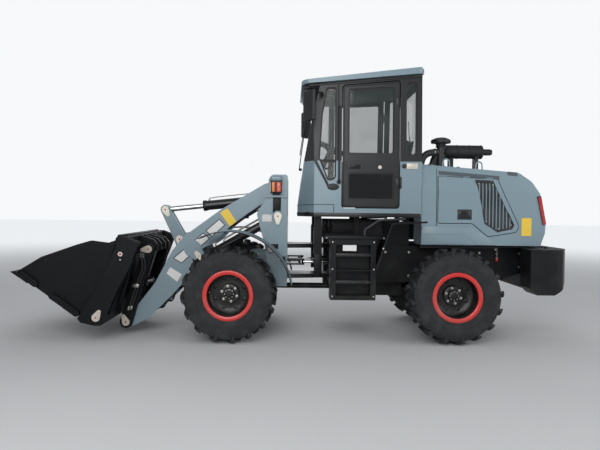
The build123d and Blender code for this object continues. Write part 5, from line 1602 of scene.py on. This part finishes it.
class LOADER_OT_cab_inside(bpy.types.Operator):
    """Fits the cab inside: dash, dials, console, levers, pedals and floor mat"""

    bl_idname = "loader.cab_inside"
    bl_label = "Cab inside"

    def execute(self, context):
        floor = CAB_FLOOR
        dash = Shape()
        dash.block(at(1440, -180, floor + 430), at(1560, 180, floor + 540), 0.022, 3)
        dash.block(at(1560, -420, floor + 380), at(1640, 420, floor + 470), 0.015, 2)
        dash.rod(at(1480, 0, floor + 480), at(1345, 0, floor + 770), 0.034, 0.028, 20, 0.002)
        dash.rod(at(1352, 0, floor + 745), at(1318, 0, floor + 808), 0.062, 0.052, 28, 0.006)
        dash.done("dash", "rear_frame", "moulded_black", "dark_plastic")
        faces = Shape()
        for y, r in ((-95, 0.030), (0, 0.042), (95, 0.030)):
            bezel = [(0.002, 0), (r, 0), (r + 0.004, 0.003), (r + 0.004, 0.008), (r, 0.010),
                     (r - 0.003, 0.005), (0.002, 0.005)]
            faces.spun(bezel, at(1440, y, floor + 488), (-1, 0, 0.1), 28)
        faces.done("dials", "rear_frame", "white_lens", "lamp_plastic")
        console = Shape()
        console.block(at(560, -470, floor), at(980, -300, floor + 430), 0.025, 3)
        console.block(at(560, 300, floor), at(900, 430, floor + 330), 0.025, 3)
        for x in (900, 820):
            console.rod(at(x, -390, floor + 428), at(x, -390, floor + 446), 0.034, 0.026, 20, 0.003)
            lever = ((x, floor + 440), (x + 6, floor + 500), (x + 22, floor + 560))
            console.tube(drawn(-390, *lever), 0.006)
            console.ball(at(x + 26, -390, floor + 585), 0.022, (1, 1, 1.35), 16)
        tread = Matrix.Rotation(radians(-30), 4, "Y")
        for y in (-170, -60, 170):
            low, high = at(1380, y - 36, floor + 60), at(1392, y + 36, floor + 150)
            console.block(low, high, 0.005, 2, tread)
            console.rod(at(1400, y, floor + 90), at(1450, y, floor + 10), 0.009, steps=10)
        console.done("consoles", "rear_frame", "moulded_black", "dark_plastic")
        mat = Shape()
        mat.block(at(600, -560, floor - 1), at(1660, 560, floor + 6), 0.003, 1)
        for i in range(14):
            x = 1000 + 30 * i
            mat.rod(at(x, -280, floor + 7), at(x, 280, floor + 7), 0.004, steps=6)
        mat.done("floor_mat", "rear_frame", "seal_rubber", "dark_plastic")
        lining = Shape()
        sheet = drawn(-500, (400, 2955), (1420, 2850), (1420, 2830), (400, 2935))
        lining.plate(sheet, (0, 1.0, 0), 0.006)
        lining.done("roof_lining", "rear_frame", "seat_cloth", "dark_plastic")
        return {"FINISHED"}


class LOADER_OT_seat(bpy.types.Operator):
    """Makes the padded seat and back with sewn channels, its shell, arm rests and slide"""

    bl_idname = "loader.seat"
    bl_label = "Seat"

    def execute(self, context):
        floor = CAB_FLOOR
        base = self.cushion("seat_cushion", (470, 940), 235, (floor + 285, floor + 372), 0.0, 3)
        back = self.cushion("seat_back", (430, 560), 222, (floor + 392, floor + 905), SEAT_LEAN, 4)
        shell = Shape()
        shell.block(at(545, -165, floor), at(905, 165, floor + 40), 0.010)
        shell.block(at(565, -150, floor + 60), at(890, 150, floor + 190), 0.012)
        for i in range(5):
            shell.block(at(558, -158, floor + 70 + 24 * i), at(897, 158, floor + 80 + 24 * i), 0.004)
        shell.block(at(480, -215, floor + 200), at(950, 215, floor + 284), 0.018, 3)
        lean = Matrix.Rotation(SEAT_LEAN, 4, "Y")
        shell.block(at(396, -205, floor + 380), at(425, 205, floor + 880), 0.014, 3, lean)
        for _, sign in SIDES:
            pivot = drawn(sign * 232, (468, floor + 480)) + drawn(sign * 262, (468, floor + 480))
            shell.rod(*pivot, 0.026, steps=20, bevel=0.003)
            shell.block(at(470, sign * 236, floor + 520), at(740, sign * 280, floor + 560), 0.016, 3)
            shell.block(at(462, sign * 236, floor + 470), at(500, sign * 262, floor + 545), 0.010, 2)
            shell.rod(at(520, sign * 130, floor + 38), at(520, sign * 130, floor + 62), 0.016, steps=12)
        shell.done("seat_shell", "rear_frame", "moulded_black", "dark_plastic")
        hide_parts("seat")
        return {"FINISHED"}

    def cushion(self, name, xs, half, zs, lean, channels):
        """Rounded block, swelled by a cloth simulation, with its sewn channels pressed in after it."""
        size = Vector((xs[1] - xs[0], 2 * half, zs[1] - zs[0])) / 1000
        bm = bmesh.new()
        bmesh.ops.create_cube(bm, size=1.0)
        bmesh.ops.scale(bm, verts=bm.verts, vec=size)
        bmesh.ops.bevel(
            bm, geom=bm.edges[:], offset=min(size) * 0.34, offset_type="OFFSET", segments=3,
            profile=0.5, affect="EDGES", material=-1, clamp_overlap=True,
        )
        mesh = bpy.data.meshes.new(name)
        bm.to_mesh(mesh)
        bm.free()
        piece = bpy.data.objects.new(name, mesh)
        bpy.context.scene.collection.objects.link(piece)
        even = piece.modifiers.new("even", "REMESH")
        even.mode = "VOXEL"
        even.voxel_size = 0.0065
        self.apply(piece)
        self.swell(piece)
        self.press(piece, size, channels)
        centre = at(sum(xs) / 2, 0, sum(zs) / 2)
        piece.data.transform(Matrix.Translation(centre) @ Matrix.Rotation(lean, 4, "Y"))
        for poly in piece.data.polygons:
            poly.use_smooth = True
        piece.data.materials.append(finish("seat_cloth"))
        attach(piece, "rear_frame")
        return piece

    def apply(self, piece):
        """Bakes the modifiers into the mesh."""
        bpy.context.view_layer.update()
        shown = piece.evaluated_get(bpy.context.evaluated_depsgraph_get())
        baked = bpy.data.meshes.new_from_object(shown)
        piece.modifiers.clear()
        piece.data = baked

    def swell(self, piece):
        """Blows the cushion up with cloth pressure and holds back points that go too far."""
        start = [v.co.copy() for v in piece.data.vertices]
        cloth = piece.modifiers.new("cloth", "CLOTH")
        cloth.settings.use_pressure = True
        cloth.settings.uniform_pressure_force = 4
        cloth.settings.effector_weights.gravity = 0
        scene = bpy.context.scene
        for number in range(1, 21):
            scene.frame_set(number)
        self.apply(piece)
        scene.frame_set(1)
        for vert, place in zip(piece.data.vertices, start):
            move = vert.co - place
            if move.length > SWELL_LIMIT:
                vert.co = place + move.normalized() * SWELL_LIMIT

    def press(self, piece, size, channels, depth=0.010):
        """Presses the sewn channels into the side that is sat on, and the rolled edge seam."""
        face, run = (0, 2) if size.z > size.x else (2, 0)
        for vert in piece.data.vertices:
            along = vert.co[run] / size[run]
            weight = max(0.0, min(1.0, (vert.co[face] / size[face] - 0.1) * 4))
            edge = abs(vert.co.y) / size.y
            inner = max(0.0, min(1.0, (0.36 - edge) * 12))
            for i in range(1, channels):
                away = (along - (i / channels - 0.5)) * size[run]
                vert.co[face] -= depth * weight * inner * max(0.0, 1 - abs(away) / 0.012) ** 0.6
            side = max(0.0, 1 - abs(edge - 0.37) * size.y / 0.010) ** 0.6
            vert.co[face] -= depth * 0.8 * weight * side


class LOADER_OT_lamps(bpy.types.Operator):
    """Makes the tower lamps with their hoods and lenses, the side lamps and the tail lamp frames"""

    bl_idname = "loader.lamps"
    bl_label = "Lamps"

    def execute(self, context):
        housing, hoods = Shape(), Shape()
        amber, red, white, screws = Shape(), Shape(), Shape(), Shape()
        for _, sign in SIDES:
            y = sign * 514
            housing.block(at(1934, y + sign * 2, 1655), at(2063, y + sign * 84, 1835), 0.018, 3)
            housing.block(at(1955, y, 1632), at(2040, y + sign * 20, 1800), 0.004)
            hoods.block(at(1931, y, 1792), at(2066, y + sign * 90, 1858), 0.026, 4)
            hoods.block(at(2040, y + sign * 30, 1660), at(2060, y + sign * 60, 1800), 0.006)
            amber.block(at(2012, y + sign * 80, 1672), at(2046, y + sign * 89, 1782), 0.004, 2)
            red.block(at(1944, y + sign * 80, 1672), at(1992, y + sign * 90, 1782), 0.010, 3)
            white.block(at(2060, y + sign * 14, 1672), at(2070, y + sign * 76, 1782), 0.006, 3)
            for z in (1700, 1752):
                screws.rod(at(1968, y + sign * 89, z), at(1968, y + sign * 92, z), 0.004, steps=10)
            side = at(2059, sign * 500, 1012)
            housing.rod(side, side + Vector((0, sign * 0.046, 0)), 0.046, steps=32, bevel=0.004)
            dome = [(0.003, 0), (0.034, 0), (0.038, 0.005), (0.030, 0.010), (0.003, 0.014)]
            white.spun(dome, side + Vector((0, sign * 0.044, 0)), (0, sign, 0), 32)
        housings = housing.done("lamp_housings", "front_frame", "moulded_black", "dark_plastic")
        hoods.done("lamp_hoods", "front_frame", "body_paint", "grey_paint")
        amber.done("amber_lenses", "front_frame", "amber_lens", "lamp_plastic")
        red.done("marker_lenses", "front_frame", "orange_lens", "lamp_plastic")
        white.done("head_lenses", "front_frame", "white_lens", "lamp_plastic")
        screws.done("lens_screws", "front_frame", "zinc", "pin_steel")
        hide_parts("front_lamps")
        bezels = Shape()
        outline = ((-990, 1652), (-1034, 1657), (-1098, 1336), (-1060, 1324))
        for _, sign in SIDES:
            for corners in surround_strips(outline, (-1046, 1492), 1.0, 0.93):
                strip = [at(p.x, sign * 603, p.y) for p in corners]
                bezels.plate(strip, (0, sign * 0.013, 0), 0.002)
        bezels.done("tail_lamp_bezels", "rear_frame", "gloss_black", "dark_plastic")
        return {"FINISHED"}


# Camera: place in millimetres, yaw, pitch and roll in degrees, focal length in the picture's pixels
CAMERA_PLACE = (1814, 7250, 1471)
CAMERA_TURN = (-0.8, -1.5, 0.65)
FOCAL_PIXELS, PICTURE_WIDTH = 583, 600
SENSOR = 36
LIGHT_AIM = Vector((0, 0, 1.2))


class LOADER_OT_stage(bpy.types.Operator):
    """Sets the floor, the light and the camera at the photograph's place"""

    bl_idname = "loader.stage"
    bl_label = "Stage"

    def execute(self, context):
        scene = context.scene
        scene.view_settings.view_transform = "Standard"
        self.floor(scene)
        self.world(scene)
        for name, place, size, power in (
            ("key", (1.5, 9.0, 4.6), 6.0, 450),
            ("fill", (-7.5, 5.0, 3.4), 5.0, 170),
            ("back", (0.0, -7.0, 5.0), 6.0, 170),
        ):
            lamp = bpy.data.lights.new(name, "AREA")
            lamp.size = size
            lamp.energy = power
            holder = bpy.data.objects.new(name, lamp)
            scene.collection.objects.link(holder)
            holder.location = place
            facing = LIGHT_AIM - Vector(place)
            holder.rotation_euler = facing.to_track_quat("-Z", "Y").to_euler()
        self.camera(scene)
        return {"FINISHED"}

    def camera(self, scene):
        """Camera where the photograph was taken from."""
        eye = bpy.data.cameras.new("camera")
        eye.sensor_width = SENSOR
        eye.lens = FOCAL_PIXELS / PICTURE_WIDTH * SENSOR
        holder = bpy.data.objects.new("camera", eye)
        scene.collection.objects.link(holder)
        yaw, pitch, roll = (radians(angle) for angle in CAMERA_TURN)
        facing = Matrix.Rotation(pi, 4, "Z") @ Matrix.Rotation(yaw, 4, "Z")
        facing = facing @ Matrix.Rotation(pi / 2 + pitch, 4, "X") @ Matrix.Rotation(roll, 4, "Z")
        holder.matrix_world = Matrix.Translation(at(*CAMERA_PLACE)) @ facing
        scene.camera = holder

    def floor(self, scene):
        """Pale floor that fades into the background's white far away."""
        bm = bmesh.new()
        bmesh.ops.create_grid(bm, x_segments=1, y_segments=1, size=60)
        mesh = bpy.data.meshes.new("floor")
        bm.to_mesh(mesh)
        bm.free()
        floor = bpy.data.objects.new("floor", mesh)
        scene.collection.objects.link(floor)
        made = Finish("floor_grey", Roughness=0.85)
        cloud = made.noise(0.8, 4.0)
        made.set(Base_Color=made.mix(cloud, (0.60, 0.605, 0.61), (0.64, 0.645, 0.65)))
        away = made.node("ShaderNodeVectorMath", {"operation": "LENGTH"}, made.place)
        haze = Value(made, away.outputs["Value"]).step(5.0, 22.0)
        made.set(Emission_Color=made.mix(haze, (0, 0, 0), (0.60, 0.615, 0.63)), Emission_Strength=1.0)
        mesh.materials.append(made.material)

    def world(self, scene):
        """Soft light all round, shown white behind the machine."""
        world = bpy.data.worlds.new("studio")
        scene.world = world
        world.use_nodes = True
        tree = world.node_tree
        light = tree.nodes["Background"]
        light.inputs[0].default_value = (0.86, 0.89, 0.93, 1)
        light.inputs[1].default_value = 0.42
        shown = tree.nodes.new("ShaderNodeBackground")
        shown.inputs[0].default_value = (0.93, 0.945, 0.96, 1)
        shown.inputs[1].default_value = 1.0
        path = tree.nodes.new("ShaderNodeLightPath")
        blend = tree.nodes.new("ShaderNodeMixShader")
        either = tree.nodes.new("ShaderNodeMath")
        either.operation = "MAXIMUM"
        tree.links.new(path.outputs["Is Camera Ray"], either.inputs[0])
        tree.links.new(path.outputs["Is Transmission Ray"], either.inputs[1])
        tree.links.new(either.outputs[0], blend.inputs[0])
        tree.links.new(light.outputs[0], blend.inputs[1])
        tree.links.new(shown.outputs[0], blend.inputs[2])
        tree.links.new(blend.outputs[0], tree.nodes["World Output"].inputs[0])


PIECE_GROUPS = [
    LOADER_OT_stage, LOADER_OT_node_finishes, LOADER_OT_tyres, LOADER_OT_rims, LOADER_OT_pin_plates,
    LOADER_OT_labels, LOADER_OT_bucket, LOADER_OT_arm, LOADER_OT_hitch, LOADER_OT_cylinders,
    LOADER_OT_front_frame, LOADER_OT_steps, LOADER_OT_rear, LOADER_OT_hood, LOADER_OT_engine_pipes,
    LOADER_OT_glazing, LOADER_OT_cab, LOADER_OT_doors, LOADER_OT_mirrors, LOADER_OT_cab_inside,
    LOADER_OT_seat, LOADER_OT_lamps,
]


class LOADER_PT_panel(bpy.types.Panel):
    """Lists the sizes, the colours and the piece groups"""

    bl_label = "Wheel loader"
    bl_idname = "LOADER_PT_panel"
    bl_space_type = "VIEW_3D"
    bl_region_type = "UI"
    bl_category = "Loader"

    def draw(self, context):
        for name in LoaderLook.__annotations__:
            self.layout.prop(context.scene.loader_look, name)
        for group in PIECE_GROUPS:
            self.layout.operator(group.bl_idname)


CLASSES = [LoaderLook, *PIECE_GROUPS, LOADER_PT_panel]


def register():
    for cls in CLASSES:
        bpy.utils.register_class(cls)
    bpy.types.Scene.loader_look = PointerProperty(type=LoaderLook)


def unregister():
    del bpy.types.Scene.loader_look
    for cls in reversed(CLASSES):
        bpy.utils.unregister_class(cls)


def main():
    """Registers the add-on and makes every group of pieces."""
    register()
    for group in PIECE_GROUPS:
        section, name = group.bl_idname.split(".")
        getattr(getattr(bpy.ops, section), name)()


if __name__ == "__main__":
    main()
